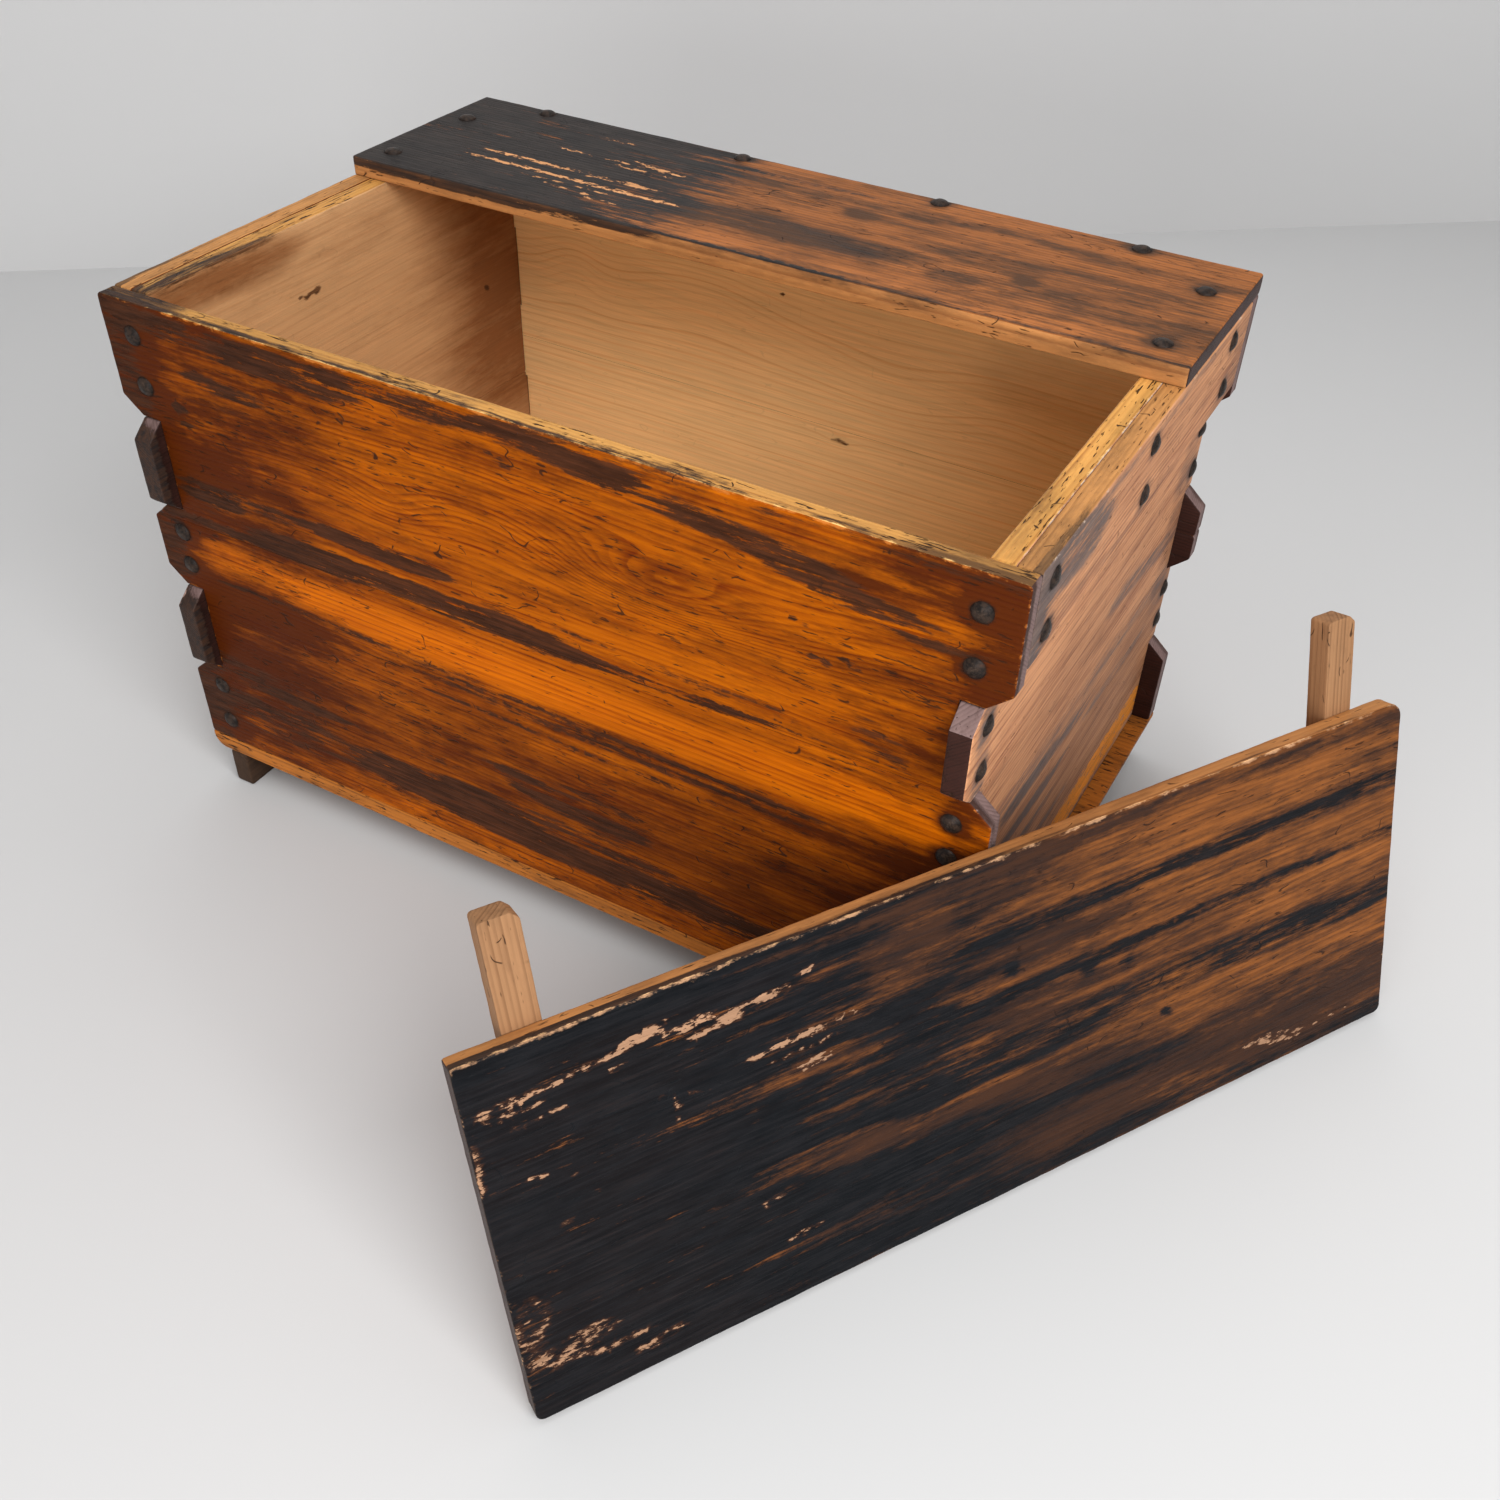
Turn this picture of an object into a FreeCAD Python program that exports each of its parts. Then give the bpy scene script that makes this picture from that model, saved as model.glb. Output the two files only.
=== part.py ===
import FreeCAD, Part
import math
import os

# Plank storage chest with a lift-off lid, in millimetres.
#
# Chest frame: X runs left to right over the finger tips, Y from the front face to the
# back face, Z up from the underside of the bottom boards. The chest stands on two
# bearers. Its front and back walls run past the ends as bevelled fingers, and the end
# walls pass between those fingers as tongues. The rear of the top is a fixed board.
# The lid closes the front of the top: two battens under it reach past its rear edge
# and slip under the fixed board. The lid is shown taken off, leaning on a corner.

Vec = FreeCAD.Vector

# ---- Chest: driving dimensions ----
chest_length = 1000.0
chest_depth = 646.0
wall_height = 584.0
front_thickness = 22.0
back_thickness = 22.0
end_thickness = 23.0
bottom_thickness = 22.0
seat_gap = 0.2

# Corner joints: the edges of the tongues, above the underside of the bottom
finger_reach = 23.0
tongue_reach = 20.0
upper_tongue_top = 454.0
upper_tongue_foot = 349.0
lower_tongue_top = 245.0
lower_tongue_foot = 137.0
finger_bevel_rise = 20.0
tongue_bevel_rise = 17.0

# Seams between the two boards of each wall
front_seam_left = 334.0
front_seam_right = 352.0
back_seam_left = 306.0
back_seam_right = 297.0
end_seam_front = 279.0
end_seam_back = 252.0

# Bottom, bearers, top rails and fixed board
bottom_front_width = 318.0
bottom_end_rounding = 18.0
bearer_width = 24.0
bearer_height = 50.0
rail_height = 96.0
fixed_board_width = 258.0
fixed_board_thickness = 21.0
fixed_board_corner = 4.0

# ---- Lid: driving dimensions ----
lid_length = 1003.0
lid_width = 375.0
lid_thickness = 21.0
lid_rear_gap = 2.0
lid_rear_left_corner = 3.0
lid_rear_right_corner = 17.0
lid_front_corner = 9.0
batten_width = 35.0
batten_thickness = 25.0
batten_length = 459.0
batten_setback = 20.0
batten_side_gap = 2.0
batten_relief = 1.0
batten_corner = 11.0
batten_tip_bevel = 4.0

# Where the lid leans: turned in plan from +X, tipped back from the vertical
lean_turn = 57.95
lean_tip = 17.25
lean_contact = 512.0
lean_gap = 0.3

# ---- Nails: driving dimensions ----
big_head_radius = 10.5
big_head_rise = 4.0
big_shank_radius = 2.6
small_head_radius = 5.0
small_head_rise = 1.6
small_shank_radius = 1.7
nail_hole_gap = 0.15
head_seat_gap = 0.05
wall_nail_grip = 42.0
tongue_nail_grip = 34.0
rail_nail_grip = 13.0
fixed_nail_grip = 18.0
bottom_nail_grip = 38.0
bearer_nail_grip = 30.0
batten_nail_grip = 13.0
bearer_nail_recess = 6.0

# Nail places. A pair stands evenly about the middle of the wood that it goes into.
upper_finger_nail_spacing = 55.0
middle_finger_nail_spacing = 42.0
lower_finger_nail_spacing = 53.0
wall_nail_cover = 8.0
upper_tongue_nail_spacing = 51.0
lower_tongue_nail_spacing = 45.0
tongue_nail_cover = 7.5
rail_nail_spacing = 52.0
rail_nail_front_inset = 33.0
rail_nail_back_inset = 59.0
fixed_nail_front_inset = 38.0
fixed_nail_spacing = 140.0
fixed_nail_left_cover = 8.0
fixed_nail_right_cover = 7.0
rear_nail_left_insets = (102.0, 380.0)
rear_nail_right_insets = (130.0, 366.0)
bottom_nail_count = 4
bottom_nail_end_inset = 130.0
bearer_nail_end_inset = 112.0
batten_nail_front_inset = 28.0
batten_nail_rear_inset = 62.0

# ---- Places that follow from the sizes above ----
end_outer = finger_reach
end_inner = finger_reach + end_thickness
back_inner = chest_depth - back_thickness
rim = wall_height
top_of_chest = wall_height + fixed_board_thickness
floor = -bearer_height
end_middle = finger_reach + end_thickness / 2
front_middle = front_thickness / 2
back_middle = chest_depth - back_thickness / 2
fixed_board_front = chest_depth - fixed_board_width
tongues = ((upper_tongue_top, upper_tongue_foot), (lower_tongue_top, lower_tongue_foot))


def box(x0, x1, y0, y1, z0, z1):
    """Block between two corners."""
    return Part.makeBox(x1 - x0, y1 - y0, z1 - z0, Vec(x0, y0, z0))


def prism(points, push):
    """Straight solid from a closed outline of points, pushed along a vector."""
    return Part.Face(Part.makePolygon(points + points[:1])).extrude(push)


def mirrored(shape):
    """The same shape at the other end of the chest."""
    return shape.mirror(Vec(chest_length / 2, 0, 0), Vec(1, 0, 0))


def nail(place, out, head_radius, head_rise, shank_radius, length):
    """Domed nail whose head sits at place, with out pointing away from the wood."""
    tip = 2.5 * shank_radius
    crown = Vec(0, 0, head_rise)
    middle_angle = math.atan2(head_rise, head_radius)
    cap_radius = (head_radius ** 2 + head_rise ** 2) / (2 * head_rise)
    shoulder = Vec(cap_radius * math.sin(middle_angle), 0,
                   cap_radius * math.cos(middle_angle) - cap_radius + head_rise)
    brim = Vec(head_radius, 0, 0)
    neck = Vec(shank_radius, 0, 0)
    corner = Vec(shank_radius, 0, tip - length)
    point = Vec(0, 0, -length)
    edges = [Part.Arc(crown, shoulder, brim).toShape(),
             Part.makeLine(brim, neck),
             Part.makeLine(neck, corner),
             Part.makeLine(corner, point),
             Part.makeLine(point, crown)]
    solid = Part.Face(Part.Wire(edges)).revolve(Vec(0, 0, 0), Vec(0, 0, 1), 360)
    seat = place + out * head_seat_gap
    solid.Placement = FreeCAD.Placement(seat, FreeCAD.Rotation(Vec(0, 0, 1), out))
    return solid


def nail_hole(place, out, shank_radius, length):
    """Hole that a nail's shank fills, with a small gap all round."""
    reach = length + nail_hole_gap
    return Part.makeCylinder(shank_radius + nail_hole_gap, reach, place - out * reach, out)


def nail_set(places, out, head, length):
    """A group of like nails and the holes that they need."""
    head_radius, head_rise, shank_radius = head
    nails = [nail(p, out, head_radius, head_rise, shank_radius, length) for p in places]
    holes = [nail_hole(p, out, shank_radius, length) for p in places]
    return nails, holes


def drilled(board, holes):
    """A board with every hole that meets it cut out."""
    near = [hole for hole in holes if hole.BoundBox.intersect(board.BoundBox)]
    return board.cut(near) if near else board


def split(wall, seam_left, seam_right, along):
    """Cut a wall into its lower and upper boards at a straight seam.

    The seam runs along X for the front and back walls and along Y for the ends.
    """
    bounds = wall.BoundBox
    low = bounds.ZMin
    if along == "X":
        points = [Vec(0, bounds.YMin, low), Vec(chest_length, bounds.YMin, low),
                  Vec(chest_length, bounds.YMin, seam_right), Vec(0, bounds.YMin, seam_left)]
        below = prism(points, Vec(0, bounds.YLength, 0))
    else:
        rise = (seam_right - seam_left) / chest_depth
        front_z = seam_left + rise * bounds.YMin
        back_z = seam_left + rise * bounds.YMax
        points = [Vec(bounds.XMin, bounds.YMin, low), Vec(bounds.XMin, bounds.YMax, low),
                  Vec(bounds.XMin, bounds.YMax, back_z), Vec(bounds.XMin, bounds.YMin, front_z)]
        below = prism(points, Vec(bounds.XLength, 0, 0))
    return wall.common(below), wall.cut(below)


# ---- Walls ----
def finger_edge():
    """Left edge of a front or back wall from the rim down, as X and Z."""
    edge = [(0, rim)]
    for top, foot in tongues:
        edge += [(0, top + finger_bevel_rise),
                 (end_outer, top),
                 (end_inner + seat_gap, top),
                 (end_inner + seat_gap, foot),
                 (end_outer, foot),
                 (0, foot - finger_bevel_rise)]
    return edge + [(0, bottom_thickness)]


def finger_wall(y0, y1):
    """Front or back wall with its fingers at both ends."""
    left = finger_edge()
    right = [(chest_length - x, z) for x, z in reversed(left)]
    outline = [Vec(x, y0, z) for x, z in left + right]
    return prism(outline, Vec(0, y1 - y0, 0))


def end_wall():
    """Left end wall with tongues through both corners; the back ones end flush."""
    front = front_thickness + seat_gap
    back = back_inner - seat_gap
    front_edge = [(front, rim)]
    back_edge = [(back, rim)]
    for notch_top, notch_foot in tongues:
        top = notch_top - seat_gap
        foot = notch_foot + seat_gap
        front_edge += [(front, top), (0, top), (-tongue_reach, top - tongue_bevel_rise),
                       (-tongue_reach, foot + tongue_bevel_rise), (0, foot), (front, foot)]
        back_edge += [(back, top), (chest_depth, top), (chest_depth, foot), (back, foot)]
    front_edge.append((front, bottom_thickness))
    back_edge.append((back, bottom_thickness))
    outline = [Vec(end_outer, y, z) for y, z in front_edge + back_edge[::-1]]
    return prism(outline, Vec(end_thickness, 0, 0))


def top_rail():
    """Left outer rail under the rim, level with the finger tips."""
    return box(0, finger_reach, front_thickness + seat_gap, back_inner - seat_gap,
               rim - rail_height, rim)


def bottom_board(y0, y1):
    """Bottom board under the walls, rounded under both ends."""
    board = box(0, chest_length, y0, y1, 0, bottom_thickness)
    arrises = [edge for edge in board.Edges
               if edge.BoundBox.ZMax < 0.5 and edge.BoundBox.XLength < 0.5]
    return board.makeFillet(bottom_end_rounding, arrises)


def bearer():
    """Left bearer, front to back under the end wall."""
    half = bearer_width / 2
    return box(end_middle - half, end_middle + half, 0, chest_depth, floor, 0)


def rounded_plate(x1, y1, thickness, radii):
    """Plate from the origin to x1, y1 with a radius at each corner, from front left round."""
    plate = box(0, x1, 0, y1, 0, thickness)
    corners = ((0, 0), (x1, 0), (x1, y1), (0, y1))
    for (x, y), radius in zip(corners, radii):
        edge = [e for e in plate.Edges
                if e.BoundBox.ZLength > thickness / 2
                and Vec(x, y, 0).distanceToPoint(Vec(e.BoundBox.XMin, e.BoundBox.YMin, 0)) < 0.01]
        plate = plate.makeFillet(radius, edge)
    return plate


def fixed_board():
    """Rear part of the top, nailed down on the rims."""
    radii = [fixed_board_corner] * 4
    board = rounded_plate(chest_length, fixed_board_width, fixed_board_thickness, radii)
    board.translate(Vec(0, fixed_board_front, rim))
    return board


# ---- Lid, in its own frame: X along it, Y front to rear, Z = 0 on its outer face ----
def lid_board():
    """Lid board, with its worn corners."""
    radii = [lid_front_corner, lid_front_corner, lid_rear_right_corner, lid_rear_left_corner]
    board = rounded_plate(lid_length, lid_width, lid_thickness, radii)
    board.translate(Vec(0, 0, -lid_thickness))
    return board


overhang = (lid_length - chest_length) / 2
batten_left = end_inner + batten_side_gap + overhang
batten_right = lid_length - batten_left - batten_width
batten_tip = batten_setback + batten_length


def batten(x0):
    """Batten under the lid; the part behind the lid is a tongue a little thinner on top."""
    x1 = x0 + batten_width
    underside = -lid_thickness
    face = underside - batten_thickness
    outline = [Vec(x0, batten_setback, face), Vec(x1, batten_setback, face),
               Vec(x1, batten_tip - batten_corner, face),
               Vec(x1 - batten_corner, batten_tip, face), Vec(x0, batten_tip, face)]
    bar = prism(outline, Vec(0, 0, batten_thickness))
    relief = box(x0, x1, lid_width, batten_tip, underside - batten_relief, underside)
    bevel = [Vec(x0, batten_tip, face + batten_tip_bevel),
             Vec(x0, batten_tip, face),
             Vec(x0, batten_tip - batten_tip_bevel, face)]
    return bar.cut([relief, prism(bevel, Vec(batten_width, 0, 0))])


def batten_nails(x0):
    """Small nails driven from below through a batten into the lid."""
    first = batten_setback + batten_nail_front_inset
    last = lid_width - batten_nail_rear_inset
    face = -lid_thickness - batten_thickness
    places = [Vec(x0 + batten_width / 2, y, face) for y in (first, (first + last) / 2, last)]
    return nail_set(places, Vec(0, 0, -1), small_head, batten_thickness + batten_nail_grip)


# ---- Nails of the chest ----
big_head = (big_head_radius, big_head_rise, big_shank_radius)
small_head = (small_head_radius, small_head_rise, small_shank_radius)


def pair(high, low, spacing):
    """Two heights, evenly about the middle of a span."""
    middle = (high + low) / 2
    return [middle + spacing / 2, middle - spacing / 2]


finger_nail_heights = (pair(rim, upper_tongue_top, upper_finger_nail_spacing)
                       + pair(upper_tongue_foot, lower_tongue_top, middle_finger_nail_spacing)
                       + pair(lower_tongue_foot, bottom_thickness, lower_finger_nail_spacing))
tongue_nail_heights = (pair(upper_tongue_top, upper_tongue_foot, upper_tongue_nail_spacing)
                       + pair(lower_tongue_top, lower_tongue_foot, lower_tongue_nail_spacing))
rail_nail_heights = pair(rim, rim - rail_height, rail_nail_spacing)


def wall_nails(x, front):
    """Nails through the fingers of one corner into the edge of the end wall."""
    y = 0 if front else chest_depth
    out = Vec(0, -1 if front else 1, 0)
    thickness = front_thickness if front else back_thickness
    places = [Vec(x, y, z) for z in finger_nail_heights]
    return nail_set(places, out, big_head, thickness + wall_nail_grip)


def tongue_nails(x, out):
    """Nails through the tongues of one end into the front and back walls."""
    lines = (front_thickness - tongue_nail_cover, back_inner + tongue_nail_cover)
    places = [Vec(x, y, z) for y in lines for z in tongue_nail_heights]
    return nail_set(places, out, big_head, end_thickness + tongue_nail_grip)


def rail_nails(x, out):
    """Three pairs of nails through one top rail into the end wall."""
    front = front_thickness + rail_nail_front_inset
    back = back_inner - rail_nail_back_inset
    places = [Vec(x, y, z) for y in (front, (front + back) / 2, back) for z in rail_nail_heights]
    return nail_set(places, out, big_head, finger_reach + rail_nail_grip)


def fixed_board_nails():
    """Nails down through the fixed board: a pair over each end wall, a row over the back."""
    left = end_outer + fixed_nail_left_cover
    right = chest_length - end_inner + fixed_nail_right_cover
    near = fixed_board_front + fixed_nail_front_inset
    places = [Vec(x, y, top_of_chest) for x in (left, right)
              for y in (near, near + fixed_nail_spacing)]
    row = list(rear_nail_left_insets) + [chest_length - x for x in rear_nail_right_insets]
    places += [Vec(x, back_middle, top_of_chest) for x in row]
    return nail_set(places, Vec(0, 0, 1), big_head, fixed_board_thickness + fixed_nail_grip)


def bottom_nails():
    """Nails up through the bottom into the front and back walls."""
    step = (chest_length - 2 * bottom_nail_end_inset) / (bottom_nail_count - 1)
    places = [Vec(bottom_nail_end_inset + i * step, y, 0)
              for y in (front_middle, back_middle) for i in range(bottom_nail_count)]
    return nail_set(places, Vec(0, 0, -1), small_head, bottom_thickness + bottom_nail_grip)


def bearer_nails(x):
    """Nails up through a bearer and the bottom into the end wall, with sunk heads."""
    rows = (bearer_nail_end_inset, chest_depth / 2, chest_depth - bearer_nail_end_inset)
    places = [Vec(x, y, floor + bearer_nail_recess) for y in rows]
    through = bearer_height - bearer_nail_recess + bottom_thickness
    nails, holes = nail_set(places, Vec(0, 0, -1), small_head, through + bearer_nail_grip)
    mouth = small_head_radius + nail_hole_gap
    sinks = [Part.makeCylinder(mouth, bearer_nail_recess, Vec(x, y, floor)) for y in rows]
    return nails, holes + sinks


# ---- The pieces ----
boards = {}
boards["front_lower_board"], boards["front_upper_board"] = split(
    finger_wall(0, front_thickness), front_seam_left, front_seam_right, "X")
boards["back_lower_board"], boards["back_upper_board"] = split(
    finger_wall(back_inner, chest_depth), back_seam_left, back_seam_right, "X")
boards["left_end_lower_board"], boards["left_end_upper_board"] = split(
    end_wall(), end_seam_front, end_seam_back, "Y")
for name in ("end_lower_board", "end_upper_board"):
    boards["right_" + name] = mirrored(boards["left_" + name])
boards["left_top_rail"] = top_rail()
boards["right_top_rail"] = mirrored(top_rail())
boards["bottom_front_board"] = bottom_board(0, bottom_front_width)
boards["bottom_rear_board"] = bottom_board(bottom_front_width, chest_depth)
boards["left_bearer"] = bearer()
boards["right_bearer"] = mirrored(bearer())
boards["fixed_top_board"] = fixed_board()

left_line = end_inner - wall_nail_cover
right_line = chest_length - left_line
nail_sets = {
    "front_left_nails": wall_nails(left_line, True),
    "front_right_nails": wall_nails(right_line, True),
    "back_left_nails": wall_nails(left_line, False),
    "back_right_nails": wall_nails(right_line, False),
    "left_tongue_nails": tongue_nails(end_outer, Vec(-1, 0, 0)),
    "right_tongue_nails": tongue_nails(chest_length - end_outer, Vec(1, 0, 0)),
    "left_rail_nails": rail_nails(0, Vec(-1, 0, 0)),
    "right_rail_nails": rail_nails(chest_length, Vec(1, 0, 0)),
    "fixed_board_nails": fixed_board_nails(),
    "bottom_nails": bottom_nails(),
    "left_bearer_nails": bearer_nails(end_middle),
    "right_bearer_nails": bearer_nails(chest_length - end_middle),
}
chest_holes = [hole for nails, holes in nail_sets.values() for hole in holes]
chest = {name: drilled(board, chest_holes) for name, board in boards.items()}
for name, (nails, holes) in nail_sets.items():
    chest[name] = Part.makeCompound(nails)

left_batten_nails, left_batten_holes = batten_nails(batten_left)
right_batten_nails, right_batten_holes = batten_nails(batten_right)
batten_holes = left_batten_holes + right_batten_holes
lid = {
    "lid_board": drilled(lid_board(), batten_holes),
    "lid_left_batten": drilled(batten(batten_left), batten_holes),
    "lid_right_batten": drilled(batten(batten_right), batten_holes),
    "lid_left_batten_nails": Part.makeCompound(left_batten_nails),
    "lid_right_batten_nails": Part.makeCompound(right_batten_nails),
}


def closed_place():
    """Where the lid lies when it closes the chest."""
    front = fixed_board_front - lid_rear_gap - lid_width
    return FreeCAD.Placement(Vec(-overhang, front, rim + lid_thickness), FreeCAD.Rotation())


def leaning_place():
    """Where the lid stands when it leans on the front right corner of the chest.

    Its front edge is on the floor. The rear edge of its underside lies against the
    upright arris of the corner, at lean_contact along the lid.
    """
    turn = math.radians(lean_turn)
    tip = math.radians(lean_tip)
    along = Vec(math.cos(turn), math.sin(turn), 0)
    inward = Vec(-math.sin(turn), math.cos(turn), 0)
    up = Vec(0, 0, 1)
    rearward = inward * math.sin(tip) + up * math.cos(tip)
    outward = up * math.sin(tip) - inward * math.cos(tip)
    back = lid_width * math.sin(tip) + lid_thickness * math.cos(tip) + lean_gap
    foot = Vec(chest_length, 0, 0) - along * lean_contact - inward * back
    foot.z = floor + lid_thickness * math.sin(tip)
    turned = FreeCAD.Matrix(along.x, rearward.x, outward.x, foot.x,
                            along.y, rearward.y, outward.y, foot.y,
                            along.z, rearward.z, outward.z, foot.z,
                            0, 0, 0, 1)
    return FreeCAD.Placement(turned)


def placed(shape, place):
    """A copy of a shape moved to a place."""
    return shape.transformed(place.toMatrix(), True)


leaning = leaning_place()
pieces = dict(chest)
pieces.update({name: placed(shape, leaning) for name, shape in lid.items()})

# The origin is on the floor, at the middle of everything.
whole = Part.makeCompound(list(pieces.values())).optimalBoundingBox(False)
origin = Vec((whole.XMin + whole.XMax) / 2, (whole.YMin + whole.YMax) / 2, whole.ZMin)
to_origin = FreeCAD.Placement(origin * -1, FreeCAD.Rotation())

os.makedirs("parts", exist_ok=True)
for name, shape in pieces.items():
    placed(shape, to_origin).exportStep("parts/" + name + ".step")
print("pieces", len(pieces))
print("origin in the chest frame", [round(v, 4) for v in origin])
print("size", [round(v, 3) for v in (whole.XLength, whole.YLength, whole.ZLength)])
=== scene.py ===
import math
from collections import namedtuple
from functools import partial

import bpy
import numpy as np
from mathutils import Matrix, Vector, noise
from mathutils.geometry import delaunay_2d_cdt


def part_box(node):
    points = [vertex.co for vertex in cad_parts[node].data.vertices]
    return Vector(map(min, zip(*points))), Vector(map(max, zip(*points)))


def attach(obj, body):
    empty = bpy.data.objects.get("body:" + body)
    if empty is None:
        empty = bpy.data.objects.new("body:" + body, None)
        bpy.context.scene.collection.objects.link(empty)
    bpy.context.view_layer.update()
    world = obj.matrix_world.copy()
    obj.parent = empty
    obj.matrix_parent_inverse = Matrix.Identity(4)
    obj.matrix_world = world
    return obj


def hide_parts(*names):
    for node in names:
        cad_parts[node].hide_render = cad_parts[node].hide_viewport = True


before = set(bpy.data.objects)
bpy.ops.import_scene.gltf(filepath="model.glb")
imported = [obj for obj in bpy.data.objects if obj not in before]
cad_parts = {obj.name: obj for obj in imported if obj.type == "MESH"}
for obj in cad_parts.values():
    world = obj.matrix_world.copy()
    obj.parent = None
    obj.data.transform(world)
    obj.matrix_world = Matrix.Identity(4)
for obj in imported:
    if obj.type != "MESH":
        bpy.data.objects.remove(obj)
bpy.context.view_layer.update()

MM = 0.001
X, Y, Z = np.eye(3)
ORIGIN = np.array(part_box("bottom_front_board")[0])

# ---- Camera, floor and wall ----
CAMERA_PLACE = (1281.1, -976.3, 1241.8)
CAMERA_TURN = 27.35
CAMERA_TILT = 41.6
CAMERA_ROLL = 2.375
CAMERA_LENS = 36.774
CAMERA_SENSOR = 36.0
CAMERA_SHIFT = (-0.01161, 0.03086)
WALL_TURN = 38.2
WALL_DISTANCE = 1978.0
FLOOR_REACH = 9000.0
WALL_HEIGHT = 5000.0

# ---- Light: name, place, target, size and power of each lamp ----
LAMPS = (
    ("key", (2.4, -1.6, 2.7), (0.2, 0.1, 0.2), 1.9, 120),
    ("front", (0.7, -3.2, 0.85), (0.0, 0.5, 0.4), 1.4, 54),
    ("overhead", (0.1, -0.3, 3.2), (0, 0.2, 0.3), 2.6, 20),
    ("rear", (-0.6, 1.0, 2.6), (0.0, 0.2, 0.3), 1.6, 10),
)
STAGE_COLOUR = (200, 200, 200)
AMBIENT_COLOUR = (237, 236, 236)
AMBIENT_STRENGTH = 0.52
BACKDROP_COLOUR = (206, 206, 206)

# ---- Where the lid leans: turned in plan from +X, tipped back from the vertical ----
LEAN_TURN = 57.95
LEAN_TIP = 17.25

# ---- Mesh detail ----
PERIMETER_STEP = 6.0
SIDE_STEP = 6.0
WIDE_CELL = (10.0, 5.0)
FINE_CELL = (9.0, 3.5)
BATTEN_CELL = (8.0, 5.0)
CELL_JITTER = 0.28
ARRIS_ANGLES = (0, 30, 60, 90)
CORNER_RADIUS = 4.2
CORNER_STEPS = 3
CORNER_ROOM = 0.4
SHARP_TURN = 0.35
ARRIS_CLEARANCE = 1.5
FACE_BANDS = 2
CLOSE = 0.01
STRAIGHT = 1e-3

# ---- Unevenness: each wave's height as a part of what it bends, its length, its seed ----
ARRIS_WAVES = ((0.35, 38, 3), (0.2, 9, 5))
FACE_WAVES = ((0.35, 60, 7), (0.3, 13, 9))
SIDE_WAVES = ((0.4, 45, 11), (0.35, 10, 13))
HOLLOW = 0.35
HOLLOW_LENGTH = 42
WEAR_REACH = 4.2
# how far dirt and painted shade reach in from a board's edges
GRIME_AND_SHADE_REACH = 9.0
BACK_SHARE = 0.5
MARK_REACH = 1.5
RING_SLANT = 0.8
SEED_SHIFT = np.array((0.37, 0.61, 0.23))

# ---- Where the looks of a board change ----
LONG_EDGE = 300
FOOT_LIMIT = 40
END_COVER = 34.0
WALL_COVER = 11.0
BOTTOM_TOP = 22

# ---- Nails ----
HEAD_RINGS = 7
HEAD_SEGMENTS = 22
LARGEST_HEAD = 14
BRIM_BAND = 0.1
CROWN_DENT = 0.1
HEAD_DENT = 0.14
DENT_LENGTH = 4.5
HEAD_UNEVENNESS = 0.07
UNDER_HEAD = ((0.5, 0.99), (0.55, 0.28))
POINT_WIDTH = 0.12


def srgb(red, green, blue):
    """A colour as it looks on a screen, 0 to 255, as the linear colour that shaders take."""
    def linear(value):
        value /= 255
        return value / 12.92 if value <= 0.04045 else ((value + 0.055) / 1.055) ** 2.4
    return (linear(red), linear(green), linear(blue), 1.0)


def placed(name, data):
    """New object in the scene."""
    made = bpy.data.objects.new(name, data)
    bpy.context.scene.collection.objects.link(made)
    return made


# ---- Shader nodes ----
class Signal:
    """An output socket that can be added to and multiplied, which makes Math nodes."""

    def __init__(self, graph, socket):
        self.graph = graph
        self.socket = socket

    def __add__(self, other):
        return self.graph.math("ADD", self, other)

    def __sub__(self, other):
        return self.graph.math("SUBTRACT", self, other)

    def __rsub__(self, other):
        return self.graph.math("SUBTRACT", other, self)

    def __mul__(self, other):
        return self.graph.math("MULTIPLY", self, other)

    def __truediv__(self, other):
        return self.graph.math("DIVIDE", self, other)

    __radd__ = __add__
    __rmul__ = __mul__


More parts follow.
